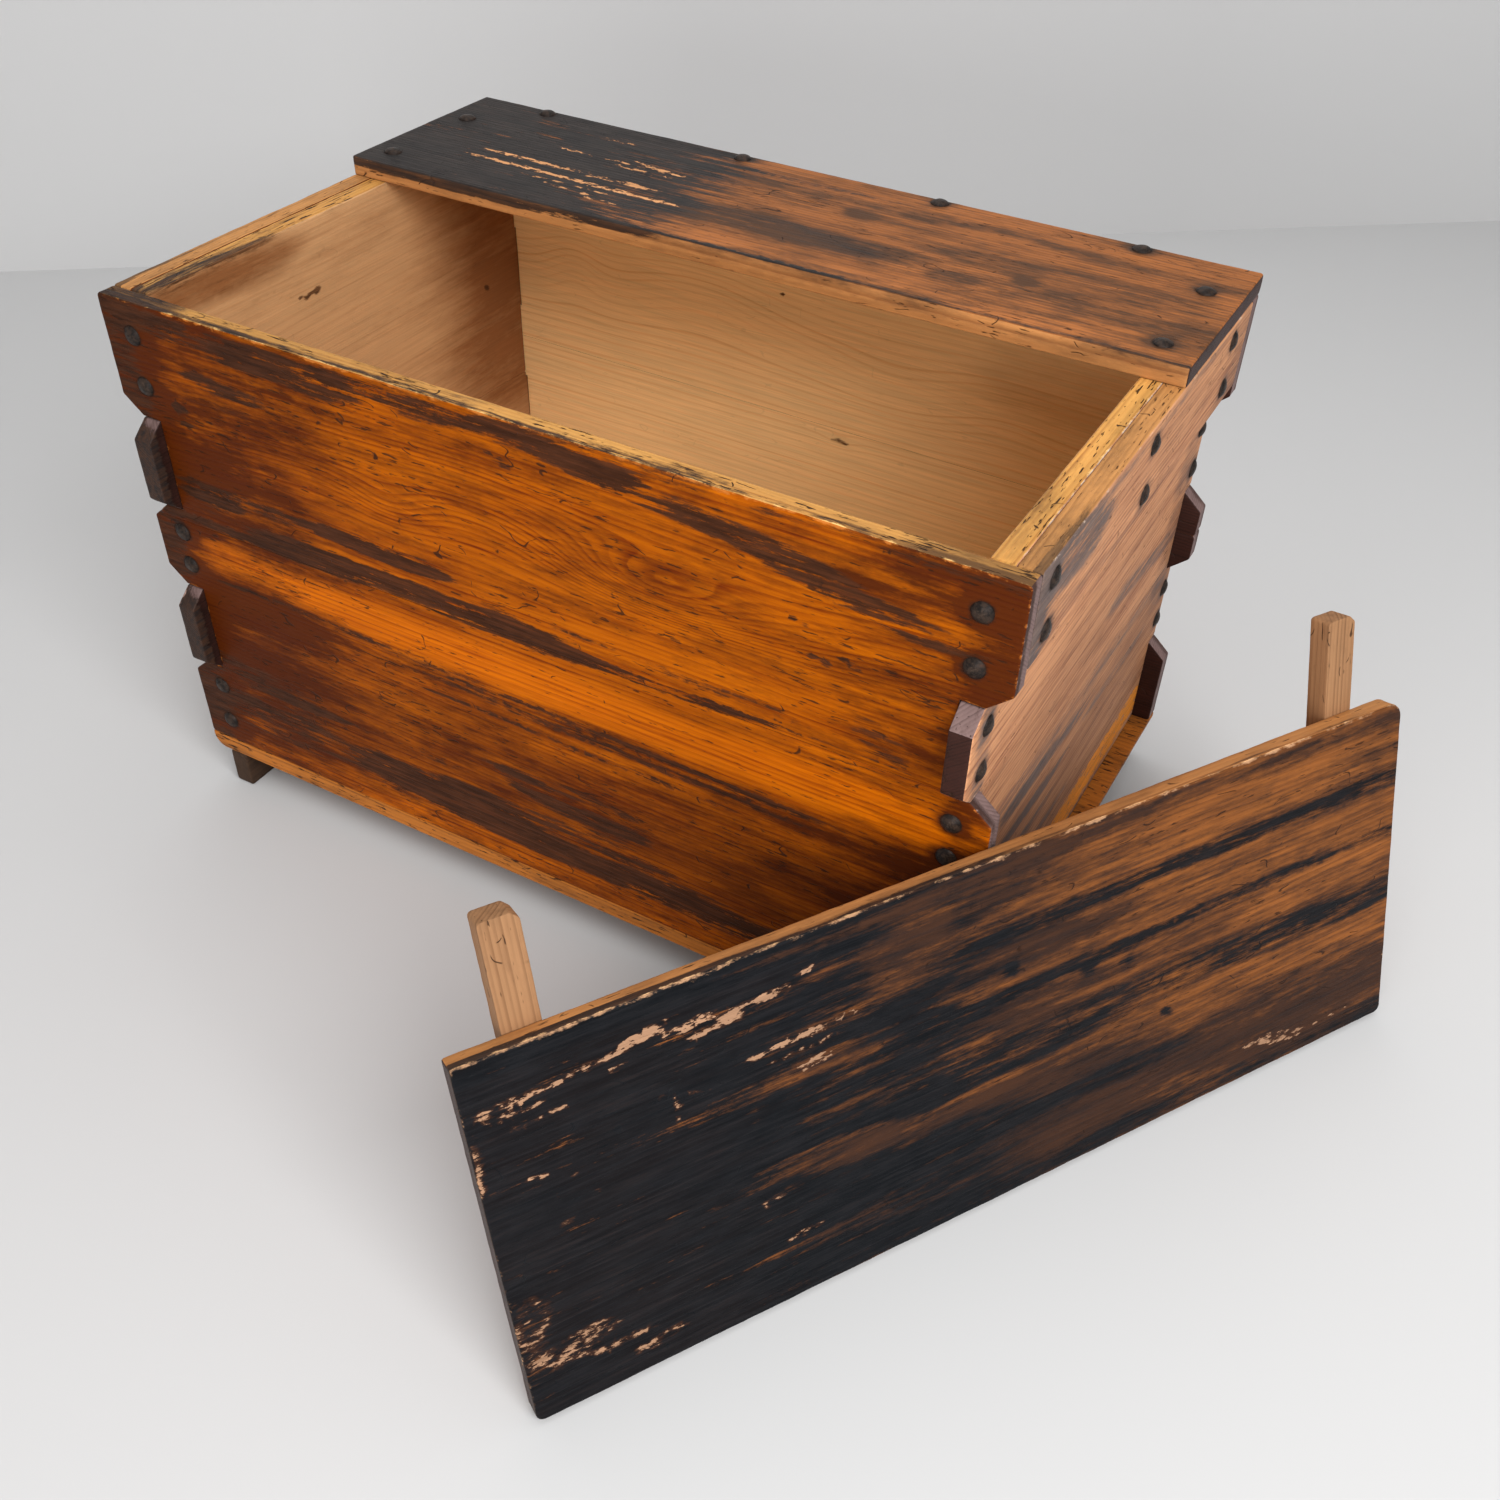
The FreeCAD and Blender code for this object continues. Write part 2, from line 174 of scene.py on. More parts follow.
class Graph:
    """The node tree of one material, or of the world."""

    def __init__(self, owner):
        self.owner = owner
        owner.use_nodes = True
        self.tree = owner.node_tree
        self.tree.nodes.clear()

    def node(self, kind, inputs=(), output=0, **settings):
        """One of the outputs of a new node, whose inputs are signals or plain values."""
        made = self.tree.nodes.new("ShaderNode" + kind)
        for key, value in settings.items():
            setattr(made, key, value)
        for key, value in dict(inputs).items():
            if isinstance(value, Signal):
                self.tree.links.new(value.socket, made.inputs[key])
            else:
                made.inputs[key].default_value = value
        return Signal(self, made.outputs[output])

    def math(self, operation, *values, clamp=False):
        return self.node("Math", enumerate(values), operation=operation, use_clamp=clamp)

    def clamp(self, value):
        return self.math("ADD", value, 0.0, clamp=True)

    def attribute(self, name, output="Fac"):
        return self.node("Attribute", output=output, attribute_name=name)

    def noise(self, vector, scale, detail=3.0, roughness=0.55):
        """Noise from 0 to 1, with its own scale along each of the three directions."""
        place = self.node("Mapping", {"Vector": vector, "Scale": scale})
        return self.node("TexNoise", {"Vector": place, "Scale": 1.0, "Detail": detail,
                                      "Roughness": roughness}, "Fac")

    def random(self, value):
        return self.node("TexWhiteNoise", {"W": value}, "Value", noise_dimensions="1D")

    def step(self, value, low, high):
        """0 below low, 1 above high and smooth between them."""
        return self.node("MapRange", {"Value": value, "From Min": low, "From Max": high},
                         "Result", interpolation_type="SMOOTHSTEP")

    def mix(self, factor, first, second):
        return self.node("Mix", {0: factor, 6: first, 7: second}, 2, data_type="RGBA")

    def scaled(self, colour, factor):
        vector = colour if isinstance(colour, Signal) else colour[:3]
        return self.node("VectorMath", {0: vector, "Scale": factor}, operation="SCALE")

    def bump(self, height, distance):
        return self.node("Bump", {"Distance": distance, "Height": height})

    def either(self, factor, first, second):
        """The first shader where the factor is 0, the second where it is 1."""
        return self.node("MixShader", {0: factor, 1: first, 2: second})

    def finish(self, shader, kind="Material"):
        """Show a shader, and give the material or the world that shows it."""
        output = self.tree.nodes.new("ShaderNodeOutput" + kind)
        self.tree.links.new(shader.socket, output.inputs["Surface"])
        return self.owner

    def surface(self, colour, roughness, normal, shine):
        return self.finish(self.node("BsdfPrincipled", {
            "Base Color": colour, "Roughness": roughness, "Normal": normal,
            "Specular IOR Level": shine}, "BSDF"))


# ---- Materials ----
WOOD = dict(
    light=(200, 130, 50), dark=(120, 62, 22), deep=(84, 34, 14),
    paint=(38, 33, 32), paint_alt=(70, 48, 36), paint_depth=0.96, paint_low=0.32, paint_high=0.6,
    nick=(44, 26, 16), bare=(200, 160, 120), worn=(205, 160, 100),
    ring_gap=6.0, ring_gain=0.45, ring_sway=6.0, ring_soft=0.25, streak_gain=0.28,
    line_gain=0.25, fibre_gain=0.18, tone_gain=0.2, deep_gain=0.5, deep_bias=-0.05,
    fleck_gain=0.8, fleck_more=0.05, nick_gain=0.85, ragged=1.0, thin=0.3, smooth=0.45,
    rough=0.65, shine=0.1, bump=0.0007)
# colour of dirt, and of the painted shade by edges, seams and corners
DIRT_AND_SHADE_COLOUR = (34, 24, 19)
NOISE_GAIN = 2.8
LOOKS = {}


def wood(name, **changes):
    """Old wood: growth rings, fibres, stains, worn paint, scrapes, nicks, rubbed arrises, dirt,
    painted shade.
    """
    look = {key: srgb(*value) if isinstance(value, tuple) else value
            for key, value in dict(WOOD, **changes).items()}
    g = Graph(bpy.data.materials.new(name))
    place = g.attribute("wood", "Vector")

    def spread(scale, detail=3.0, roughness=0.55):
        """Noise about 0 that reaches roughly from -1 to 1."""
        return (g.noise(place, scale, detail, roughness) - 0.5) * NOISE_GAIN

    # growth rings and fibres
    ring = g.attribute("ring") + spread((2.2, 9, 9), 1.5) * look["ring_sway"]
    count = ring / look["ring_gap"]
    phase = g.math("FRACT", count)
    strength = g.random(g.math("FLOOR", count)) * 0.8 + 0.2
    late = g.step(phase, look["ring_soft"], 0.85) * (1.0 - g.step(phase, 0.88, 1.0)) * strength
    fibre = spread((12, 560, 560), 2.5, 0.65)
    line = spread((13, 230, 230), 3, 0.65)
    streak = spread((3.5, 60, 60), 3.5, 0.6)
    cloud = spread((4, 11, 11), 3)
    darkness = (late * look["ring_gain"] + streak * look["streak_gain"]
                + line * look["line_gain"] + fibre * look["fibre_gain"] + 0.3)
    colour = g.mix(g.clamp(darkness), look["light"], look["dark"])
    tone = cloud * look["tone_gain"] + g.attribute("tone") * 0.6 + 1.0
    colour = g.scaled(colour, tone)

    # stain that has soaked in, and painted shade from the shade marks on the same channel
    soak = spread((7, 30, 30), 5, 0.7)
    mottle = spread((26, 70, 70), 5, 0.72)
    ragged = spread((10, 125, 125), 6, 0.7)
    soaked_and_shaded = (soak + mottle * 0.5 + ragged * 0.6) * look["deep_gain"] + look["deep_bias"]
    soaked_and_shaded = g.clamp(g.attribute("stain_and_shade") + soaked_and_shaded + streak * 0.15)
    colour = g.mix(soaked_and_shaded * 0.92, colour, look["deep"])
    colour = g.scaled(colour, 1.0 + fibre * 0.18 + line * 0.1 + streak * 0.1)

    # dark flecks along the grain, and short curved nicks
    where = spread((9, 18, 18), 2)
    fleck = spread((48, 340, 340), 2, 0.6) + where * 0.3 + look["fleck_more"]
    flecked = g.step(fleck, 0.6, 0.8) * look["fleck_gain"]
    curl = g.math("ABSOLUTE", spread((26, 50, 50), 0.5))
    gate = spread((40, 55, 55), 1) + where * 0.25
    nicked = (1.0 - g.step(curl, 0.012, 0.04)) * g.step(gate, 0.3, 0.44) * look["nick_gain"]
    spots = g.math("MAXIMUM", flecked, nicked)
    colour = g.mix(spots, colour, look["nick"])

    # paint, worn through in streaks
    broad = spread((3, 34, 34), 3, 0.6)
    grit = spread((110, 260, 260), 3, 0.7)
    torn = spread((60, 150, 150), 5, 0.75)
    wander = (ragged * 0.8 + broad * 0.35 + torn * 0.25) * look["ragged"]
    painted = g.step(g.attribute("paint") * (0.7 + wander), look["paint_low"], look["paint_high"])
    sheen = mottle * 0.5 + line * 0.7 + ragged * 0.5
    paint_colour = g.mix(g.step(sheen, -0.5, 0.6), look["paint"], look["paint_alt"])
    paint_colour = g.scaled(paint_colour, 1.0 + fibre * 0.15)
    seen_through = g.step(line * 0.6 + ragged * 0.6, 0.1, 0.7) * look["thin"]
    colour = g.mix(painted * (look["paint_depth"] - seen_through), colour, paint_colour)

    # scrapes down to clean wood, broken into chips
    chips = spread((64, 190, 190), 2.5, 0.7)
    broken = g.attribute("bare") * (0.5 + chips * 0.6 + torn * 0.6)
    scraped = g.step(broken, 0.36, 0.46)
    bare_colour = g.scaled(look["bare"], 1.0 + streak * 0.25 + line * 0.2 + fibre * 0.25)
    colour = g.mix(g.step(broken, 0.2, 0.4) * 0.35, colour, look["dark"])
    colour = g.mix(scraped, colour, bare_colour)

    # rubbed arrises, and dirt with painted shade darkening the faces towards their edges, seams
    # and corners
    rub = spread((52, 120, 120), 5, 0.72)
    rubbed = g.step(g.attribute("edge") + rub * 0.5, 0.55, 0.8)
    worn_colour = g.scaled(look["worn"], 1.0 + streak * 0.25 + fibre * 0.3 + grit * 0.25)
    colour = g.mix(rubbed * 0.85, colour, worn_colour)
    dirty_and_shaded = g.step(g.attribute("grime") + grit * 0.2 + soak * 0.2, 0.35, 0.9)
    colour = g.mix(dirty_and_shaded * 0.9, colour, srgb(*DIRT_AND_SHADE_COLOUR))

    dull = g.clamp(scraped + rubbed * 0.7 + spots * 0.4)
    roughness = dull * (look["rough"] - look["smooth"]) + look["smooth"]
    roughness = roughness + fibre * 0.05 + soak * 0.05
    height = (painted * 0.25 - scraped * 0.35 - spots * 0.7 - rubbed * 0.2
              + fibre * 0.12 - late * 0.25 + grit * 0.06)
    LOOKS[name] = g.surface(colour, roughness, g.bump(height, look["bump"]), look["shine"])


def iron():
    """Forged iron: dark scale, rust in the hollows, crowns rubbed and lighter as a painted
    highlight.
    """
    g = Graph(bpy.data.materials.new("forged_iron"))
    place = g.attribute("wood", "Vector")
    scale = g.noise(place, (160, 160, 160), detail=5, roughness=0.65)
    pits = g.noise(place, (520, 520, 520), detail=3, roughness=0.6)
    crown = g.attribute("edge")
    colour = g.mix(g.step(scale, 0.38, 0.66), srgb(26, 21, 19), srgb(52, 40, 33))
    # pale specks, most on the crowns: rubbed iron and a painted highlight
    colour = g.mix(g.step(pits + crown * 0.2, 0.6, 0.8) * 0.3, colour, srgb(92, 76, 64))
    colour = g.mix(g.step(scale - crown * 0.15, 0.58, 0.75) * 0.6, colour, srgb(72, 38, 22))
    roughness = 0.46 - crown * 0.12 + (pits - 0.5) * 0.3
    height = scale * 0.6 + pits * 0.25
    return g.surface(colour, roughness, g.bump(height, 0.001), 0.12)


def plain(name):
    """A pale floor or wall, clear from behind so that the wall never hides the chest."""
    g = Graph(bpy.data.materials.new(name))
    pale = g.node("BsdfDiffuse", {"Color": srgb(*STAGE_COLOUR)})
    clear = g.node("BsdfTransparent")
    return g.finish(g.either(g.node("NewGeometry", output="Backfacing"), pale, clear))


# Wood of the inside. Its light and dark colours, which inner_ends replaces, are painted light:
# paler than the wood, so that the shaded inside looks lit. Its deep colour is painted shade for
# the shade marks under the fixed board, and also tints a faint mottling.
INNER_PAINTED_LIGHT_AND_SHADE = dict(light=(255, 222, 164), dark=(222, 166, 108), deep=(124, 78, 44), paint=(60, 38, 24),
    paint_alt=(96, 62, 38), worn=(214, 170, 118), ring_gap=10.0, ring_soft=0.55, streak_gain=0.12,
    line_gain=0.08, fibre_gain=0.06, tone_gain=0.06, deep_gain=0.12, deep_bias=-0.1,
    fleck_gain=0.15, nick_gain=0.1, smooth=0.62, rough=0.7, bump=0.0004)
wood("front_lacquer", light=(192, 98, 0), dark=(104, 34, 0), deep=(64, 23, 5), paint=(42, 24, 15),
    paint_alt=(74, 42, 25), worn=(184, 108, 44), bare=(205, 150, 90), deep_gain=0.8,
    deep_bias=0.12, streak_gain=0.35, line_gain=0.4, fibre_gain=0.3, fleck_more=0.24, ragged=1.2,
    shine=0.05)
wood("seam_edges", light=(110, 56, 18), dark=(56, 30, 14), worn=(90, 50, 22))
wood("finger_ends", light=(132, 108, 104), dark=(82, 64, 62), deep=(56, 36, 30),
    worn=(196, 160, 146), ring_gap=4.0, smooth=0.55, deep_gain=0.6, tone_gain=0.12)
# near-black brown, partly dark stain and partly painted shade: for the tongues' sides, the
# fingers' faces in the recesses, and some end faces
wood("stained_and_shaded_faces", light=(58, 33, 27), dark=(34, 21, 18), deep=(27, 17, 15), worn=(120, 88, 74),
    ring_gap=4.0)
wood("end_walls", light=(206, 148, 106), dark=(132, 84, 60), deep=(96, 74, 66),
    paint=(70, 66, 68), paint_alt=(108, 96, 92), paint_depth=0.9, paint_low=0.15, paint_high=0.75,
    worn=(204, 184, 166), smooth=0.6, rough=0.7, deep_gain=0.6, deep_bias=-0.08, tone_gain=0.14,
    line_gain=0.7, streak_gain=0.55, nick_gain=0.45, bare=(216, 134, 48))
wood("inner_wood_painted_light", **INNER_PAINTED_LIGHT_AND_SHADE)
wood("inner_ends", **dict(
    INNER_PAINTED_LIGHT_AND_SHADE, light=(204, 160, 114), dark=(152, 108, 70), ring_gain=0.2, line_gain=0.16,
    deep_gain=0.35, deep_bias=-0.04, tone_gain=0.12))
wood("rims", light=(214, 158, 84), dark=(140, 88, 40), deep=(84, 58, 36), worn=(228, 184, 116),
    smooth=0.55, rough=0.7, fleck_gain=0.95, fleck_more=0.3, nick_gain=0.95, ring_gap=4.0,
    bump=0.0012, deep_gain=0.6)
wood("rail_rims", light=(204, 144, 84), dark=(136, 92, 50), deep=(78, 56, 38), paint=(84, 60, 40),
    paint_alt=(116, 84, 54), worn=(214, 170, 112), smooth=0.55, rough=0.7, fleck_more=0.2,
    ring_gap=4.0, bump=0.0012, deep_gain=0.7, deep_bias=0.1)
wood("bottom_edges", light=(190, 114, 42), dark=(118, 66, 26), deep=(58, 40, 28),
    worn=(190, 132, 68), smooth=0.5, fleck_gain=0.95, fleck_more=0.3, deep_gain=0.7,
    deep_bias=0.1)
wood("fixed_board_top", light=(170, 103, 52), dark=(100, 60, 34), deep=(72, 50, 35),
    paint=(30, 31, 32), paint_alt=(52, 48, 46), paint_depth=0.98, thin=0.08, paint_low=0.15,
    paint_high=0.7, bare=(208, 150, 102), worn=(176, 112, 58), deep_gain=1.1, deep_bias=0.22,
    line_gain=0.55, fleck_more=0.15, shine=0.06)
wood("sawn_edges", light=(196, 136, 80), dark=(134, 84, 46), deep=(84, 56, 38),
    worn=(226, 180, 130), smooth=0.6, rough=0.75, deep_gain=0.7, deep_bias=0.05, fleck_more=0.15)
wood("lid_top", light=(144, 86, 40), dark=(84, 48, 26), deep=(50, 33, 26), paint=(8, 12, 16),
    paint_alt=(24, 25, 28), paint_depth=0.985, thin=0.06, paint_low=0.16, paint_high=0.8,
    bare=(152, 116, 90), worn=(178, 136, 102), smooth=0.42, deep_gain=0.9, deep_bias=0.24,
    line_gain=0.4, fleck_more=0.15, shine=0.06)
wood("undersides", light=(184, 136, 88), dark=(134, 90, 54), deep=(94, 66, 44),
    worn=(190, 150, 108), smooth=0.65, rough=0.75, ring_gap=9.0, ring_soft=0.45, streak_gain=0.2,
    tone_gain=0.1, deep_gain=0.4, nick_gain=0.2)
wood("raw_battens", light=(164, 122, 86), dark=(112, 78, 52), deep=(80, 58, 42),
    worn=(208, 168, 130), smooth=0.65, rough=0.75, ring_gap=5.0, deep_gain=0.6)
wood("bearers", light=(76, 56, 42), dark=(42, 31, 25), deep=(28, 22, 19), worn=(110, 82, 58),
    smooth=0.6)
IRON = iron()


# ---- Local frames and outlines ----
class Place:
    """Local frame of a board: a along the grain, b across it, c from its outer face in."""

    def __init__(self, a, b, c, origin=ORIGIN):
        self.axes = np.array([a, b, c])
        self.origin = np.array(origin)
        self.mirrored = np.linalg.det(self.axes) < 0

    def local(self, points):
        return (np.array(points) - self.origin) @ self.axes.T / MM

    def shared(self, points):
        return self.origin + MM * np.array(points) @ self.axes


def lid_axes():
    """Directions of the leaning lid: along it, towards its rear edge, out of its top face."""
    turn, tip = math.radians(LEAN_TURN), math.radians(LEAN_TIP)
    along = np.array((math.cos(turn), math.sin(turn), 0))
    inward = np.array((-math.sin(turn), math.cos(turn), 0))
    rearward = inward * math.sin(tip) + Z * math.cos(tip)
    outward = Z * math.sin(tip) - inward * math.cos(tip)
    return along, rearward, outward


def node_points(node, place):
    """A CAD node's vertices in a local frame."""
    return place.local([vertex.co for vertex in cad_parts[node].data.vertices])


def seed_of(node):
    return 1 + sorted(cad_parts).index(node)


FRONT = Place(X, Z, Y)
BACK = Place(X, Z, -Y)
LEFT = Place(Y, Z, X)
RIGHT = Place(Y, Z, -X)
TOP = Place(X, Y, -Z)
UNDER = Place(Y, X, Z)
PLACES = {"front": FRONT, "back": BACK, "left": LEFT, "right": RIGHT, "top": TOP}
ALONG, REARWARD, OUTWARD = lid_axes()
LEANING = Place(ALONG, REARWARD, -OUTWARD, (0, 0, 0))
LID_CORNER = LEANING.shared(node_points("lid_board", LEANING).min(0))
LID = Place(ALONG, REARWARD, -OUTWARD, LID_CORNER)
BATTEN = Place(REARWARD, ALONG, OUTWARD, LID_CORNER)


def shoelace(loop):
    """Area inside a loop, positive where it runs anticlockwise."""
    after = np.roll(loop, -1, 0)
    return (loop[:, 0] * after[:, 1] - loop[:, 1] * after[:, 0]).sum() / 2


def outline_of(node, place):
    """Outline of a node's outer face, anticlockwise, and the depths of its two faces."""
    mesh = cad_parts[node].data
    mesh.calc_loop_triangles()
    points = node_points(node, place)
    low, high = points[:, 2].min(), points[:, 2].max()
    corners = [tuple(point) for point in points[:, :2].round(2)]
    sides = {}
    for triangle in mesh.loop_triangles:
        ends = list(triangle.vertices)
        if points[ends, 2].max() < low + CLOSE:
            for start, end in zip(ends, ends[1:] + ends[:1]):
                side = corners[start], corners[end]
                if side[::-1] in sides:
                    del sides[side[::-1]]
                else:
                    sides[side] = True
    follow = dict(sides.keys())
    loops = []
    while follow:
        loop = [next(iter(follow))]
        while loop[-1] in follow:
            loop.append(follow.pop(loop[-1]))
        loops.append(np.array(loop[:-1]))
    loop = max(loops, key=lambda each: abs(shoelace(each)))
    if shoelace(loop) < 0:
        loop = loop[::-1]
    before, after = loop - np.roll(loop, 1, 0), np.roll(loop, -1, 0) - loop
    turned = np.abs(before[:, 0] * after[:, 1] - before[:, 1] * after[:, 0])
    straight = turned < STRAIGHT * np.hypot(*before.T) * np.hypot(*after.T)
    return loop[~straight], low, high


# ---- Board meshes ----
# An edge of a board: radius of its arris on the outer and on the inner face, how far it
# wanders inward, how rubbed it is, how much dirt and painted shade darken it, and its look.
Edge = namedtuple("Edge", "arris back_arris sway wear grime look")
# A mark on a face: its channel, strength, half lengths along and across the grain, points.
Mark = namedtuple("Mark", "channel strength half_a half_b points")
# the stain and grime channels carry painted shade as well as real stains and dirt
CHANNELS = ("paint", "bare", "stain_and_shade", "tone", "grime")


def mark(channel, strength, half_a, half_b, *points):
    return Mark(channel, strength, half_a, half_b, points)


def ripple(point, size, seed=0.0):
    """Smooth noise from -1 to 1 over a length, in millimetres."""
    return noise.noise(Vector(point) / size + Vector((seed, 1.7 * seed, 0.3 * seed)))


def perimeter(outline, step, corner):
    """Samples round an outline, each with how it moves in for a distance from its edges.

    Gives points, two move vectors each, the two edges that those belong to, how much of
    the second edge counts, and the edge of the stretch that follows.
    """
    count = len(outline)
    ways = np.roll(outline, -1, 0) - outline
    lengths = np.hypot(*ways.T)
    ways = ways / lengths[:, None]
    normals = np.stack([-ways[:, 1], ways[:, 0]], 1)
    turns, cuts = [], []
    for i in range(count):
        cross = ways[i - 1][0] * ways[i][1] - ways[i - 1][1] * ways[i][0]
        turn = math.atan2(cross, ways[i - 1] @ ways[i])
        room = CORNER_ROOM * min(lengths[i - 1], lengths[i])
        turns.append(turn)
        cuts.append(min(corner * math.tan(turn / 2), room) if turn > SHARP_TURN else 0.0)
    rows = []
    zero = np.zeros(2)
    for i in range(count):
        here, last, turn, cut = outline[i], (i - 1) % count, turns[i], cuts[i]
        if cut:
            radius = cut / math.tan(turn / 2)
            centre = here - ways[last] * cut + normals[last] * radius
            for s in range(CORNER_STEPS + 1):
                part = s / CORNER_STEPS
                c, d = math.cos(turn * part), math.sin(turn * part)
                n = np.array((normals[last][0] * c - normals[last][1] * d,
                              normals[last][0] * d + normals[last][1] * c))
                rows.append((centre - n * radius, n * (1 - part), n * part, last, i, part,
                             last if part < 0.5 else i))
        elif abs(turn) > SHARP_TURN:
            moves = np.linalg.inv([normals[last], normals[i]])
            rows.append((here, moves[:, 0], moves[:, 1], last, i, 0.5, i))
        else:
            n = (normals[last] + normals[i]) / 2
            n = n / (n @ n)
            rows.append((here, n / 2, n / 2, last, i, 0.5, i))
        start = cut
        end = lengths[i] - cuts[(i + 1) % count]
        spans = max(1, round((end - start) / step))
        for s in range(1, spans):
            point = here + ways[i] * (start + (end - start) * s / spans)
            rows.append((point, normals[i], zero, i, i, 0.0, i))
    return [np.array(column) for column in zip(*rows)]


def edge_distances(points, outline):
    """Distance from each point to each edge of an outline."""
    found = []
    for start, end in zip(outline, np.roll(outline, -1, 0)):
        way = end - start
        part = np.clip((points - start) @ way / (way @ way), 0, 1)
        found.append(np.hypot(*(points - start - part[:, None] * way).T))
    return np.array(found)


def inside(points, outline):
    """Which points lie inside an outline."""
    found = np.zeros(len(points), bool)
    for start, end in zip(outline, np.roll(outline, -1, 0)):
        if start[1] != end[1]:
            spans = (points[:, 1] < start[1]) != (points[:, 1] < end[1])
            slope = (points[:, 1] - start[1]) * (end[0] - start[0]) / (end[1] - start[1])
            found ^= spans & (points[:, 0] < start[0] + slope)
    return found


def fill(loop, outline, margin, cell, seed):
    """Cover a loop with triangles over a jittered grid: extra points and triangles."""
    draw = np.random.default_rng(seed)
    low, high = outline.min(0), outline.max(0)
    axes = [np.arange(low[i] + cell[i] / 2, high[i], cell[i]) for i in (0, 1)]
    grid = np.stack(np.meshgrid(*axes), -1).reshape(-1, 2)
    grid += draw.uniform(-CELL_JITTER, CELL_JITTER, grid.shape) * cell
    grid = grid[inside(grid, outline)]
    grid = grid[edge_distances(grid, outline).min(0) > margin]
    points = np.vstack([loop, grid])
    count = len(loop)
    rims = [(i, (i + 1) % count) for i in range(count)]
    made = delaunay_2d_cdt([Vector(p) for p in points], rims, [], 1, 1e-5)
    source = []
    for place, ids in zip(made[0], made[3]):
        source.append(ids[0] if ids else len(points))
        if not ids:
            points = np.vstack([points, place])
    return points[count:], [tuple(source[i] for i in face) for face in made[2]]


def mark_strength(a, b, each):
    """How strongly a mark covers each place: fully near its line, and less further off."""
    best = np.full(len(a), 1e9)
    points = each.points if len(each.points) > 1 else each.points * 2
    a, b = a / each.half_a, b / each.half_b
    for start, end in zip(points, points[1:]):
        start = np.array(start) / (each.half_a, each.half_b)
        way = np.array(end) / (each.half_a, each.half_b) - start
        part = ((a - start[0]) * way[0] + (b - start[1]) * way[1]) / max(way @ way, 1e-9)
        part = np.clip(part, 0, 1)
        gap = np.hypot(a - start[0] - part * way[0], b - start[1] - part * way[1])
        best = np.minimum(best, gap)
    fade = np.clip(MARK_REACH - best, 0, 1)
    return each.strength * fade * fade * (3 - 2 * fade)


def attributes_of(local, outline, edges, low, high, outer_marks, inner_marks, bumps, seeds):
    """Values that the wood shader reads, for every vertex of a board."""
    a, b, c = local.T
    found = {name: np.zeros(len(a)) for name in CHANNELS}
    near = c - low < (high - low) / 2
    for marks, side in ((outer_marks, near), (inner_marks, ~near)):
        for each in marks:
            found[each.channel][side] += mark_strength(a[side], b[side], each)
    distances = edge_distances(local[:, :2], outline) + np.minimum(c - low, high - c)
    # rubbed arrises, and dirt with painted shade, fading in from each edge by its own weight
    for name, reach, weights in (("edge", WEAR_REACH, [edge.wear for edge in edges]),
                                 ("grime", GRIME_AND_SHADE_REACH, [edge.grime for edge in edges])):
        value = (np.array(weights)[:, None] * np.exp(-distances / reach)).max(0)
        found[name] = found.get(name, 0) + np.where(near, value, value * BACK_SHARE)
    ring = b + RING_SLANT * (c - low)
    for height, at_a, at_b, half_a, half_b in bumps:
        ring = ring + height * np.exp(-((a - at_a) / half_a) ** 2 - ((b - at_b) / half_b) ** 2)
    found["ring"] = ring
    found["wood"] = local * MM + np.where(near, *seeds)[:, None] * SEED_SHIFT
    return found


def new_object(name, points, faces, slots, looks, values, body):
    """Mesh object with smooth faces, its materials and its vertex values."""
    mesh = bpy.data.meshes.new(name)
    mesh.from_pydata(points.tolist(), [], faces)
    for look in looks:
        mesh.materials.append(look)
    mesh.polygons.foreach_set("material_index", slots)
    mesh.polygons.foreach_set("use_smooth", [True] * len(faces))
    for key, value in values.items():
        if value.ndim == 2:
            layer = mesh.attributes.new(key, "FLOAT_VECTOR", "POINT")
            layer.data.foreach_set("vector", value.ravel())
        else:
            layer = mesh.attributes.new(key, "FLOAT", "POINT")
            layer.data.foreach_set("value", value)
    mesh.update()
    made = placed(name, mesh)
    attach(made, body)
    return made


class Rim:
    """Samples round a board's outline, which know what the edges beside them ask for."""

    def __init__(self, outline, edges, corner, seed):
        self.points, self.move_a, self.move_b, edge_a, edge_b, self.part, edge_on = perimeter(
            outline, PERIMETER_STEP, corner)
        self.edge_a, self.edge_b, self.edge_on = (
            column.astype(int) for column in (edge_a, edge_b, edge_on))
        self.edges = edges
        self.seed = seed

    def values(self, name):
        return np.array([getattr(edge, name) for edge in self.edges], float)

    def moved(self, name):
        """How far in each sample moves, for a distance that its edges hold."""
        distance = self.values(name)
        return (distance[self.edge_a][:, None] * self.move_a
                + distance[self.edge_b][:, None] * self.move_b)

    def blended(self, name):
        values = self.values(name)
        return (values[self.edge_a] * (1 - self.part) + values[self.edge_b] * self.part)[:, None]

    def waver(self, start, depth, waves):
        """Smooth noise about a start for every sample, at one depth."""
        for height, length, salt in waves:
            ripples = [ripple((a, b, depth), length, self.seed + salt) for a, b in self.points]
            start = start + height * np.array(ripples)[:, None]
        return start

    def arris(self, name, depth, sign):
        """Rings of points over a rounded arris, from the side to the face."""
        size = self.waver(1, depth, ARRIS_WAVES)
        shift = self.points + self.moved("sway") * self.waver(0.5, depth, FACE_WAVES)
        rings = []
        for angle in ARRIS_ANGLES:
            s, c = math.sin(math.radians(angle)), math.cos(math.radians(angle))
            flat = shift + self.moved(name) * size * (1 - c)
            rings.append(np.hstack([flat, depth + sign * self.blended(name) * size * (1 - s)]))
        return rings

    def side(self, depth):
        """Ring of points on the side between the two arrises."""
        wander = self.moved("sway") * self.waver(0.5, depth, SIDE_WAVES)
        return np.hstack([self.points + wander, np.full((len(self.points), 1), depth)])


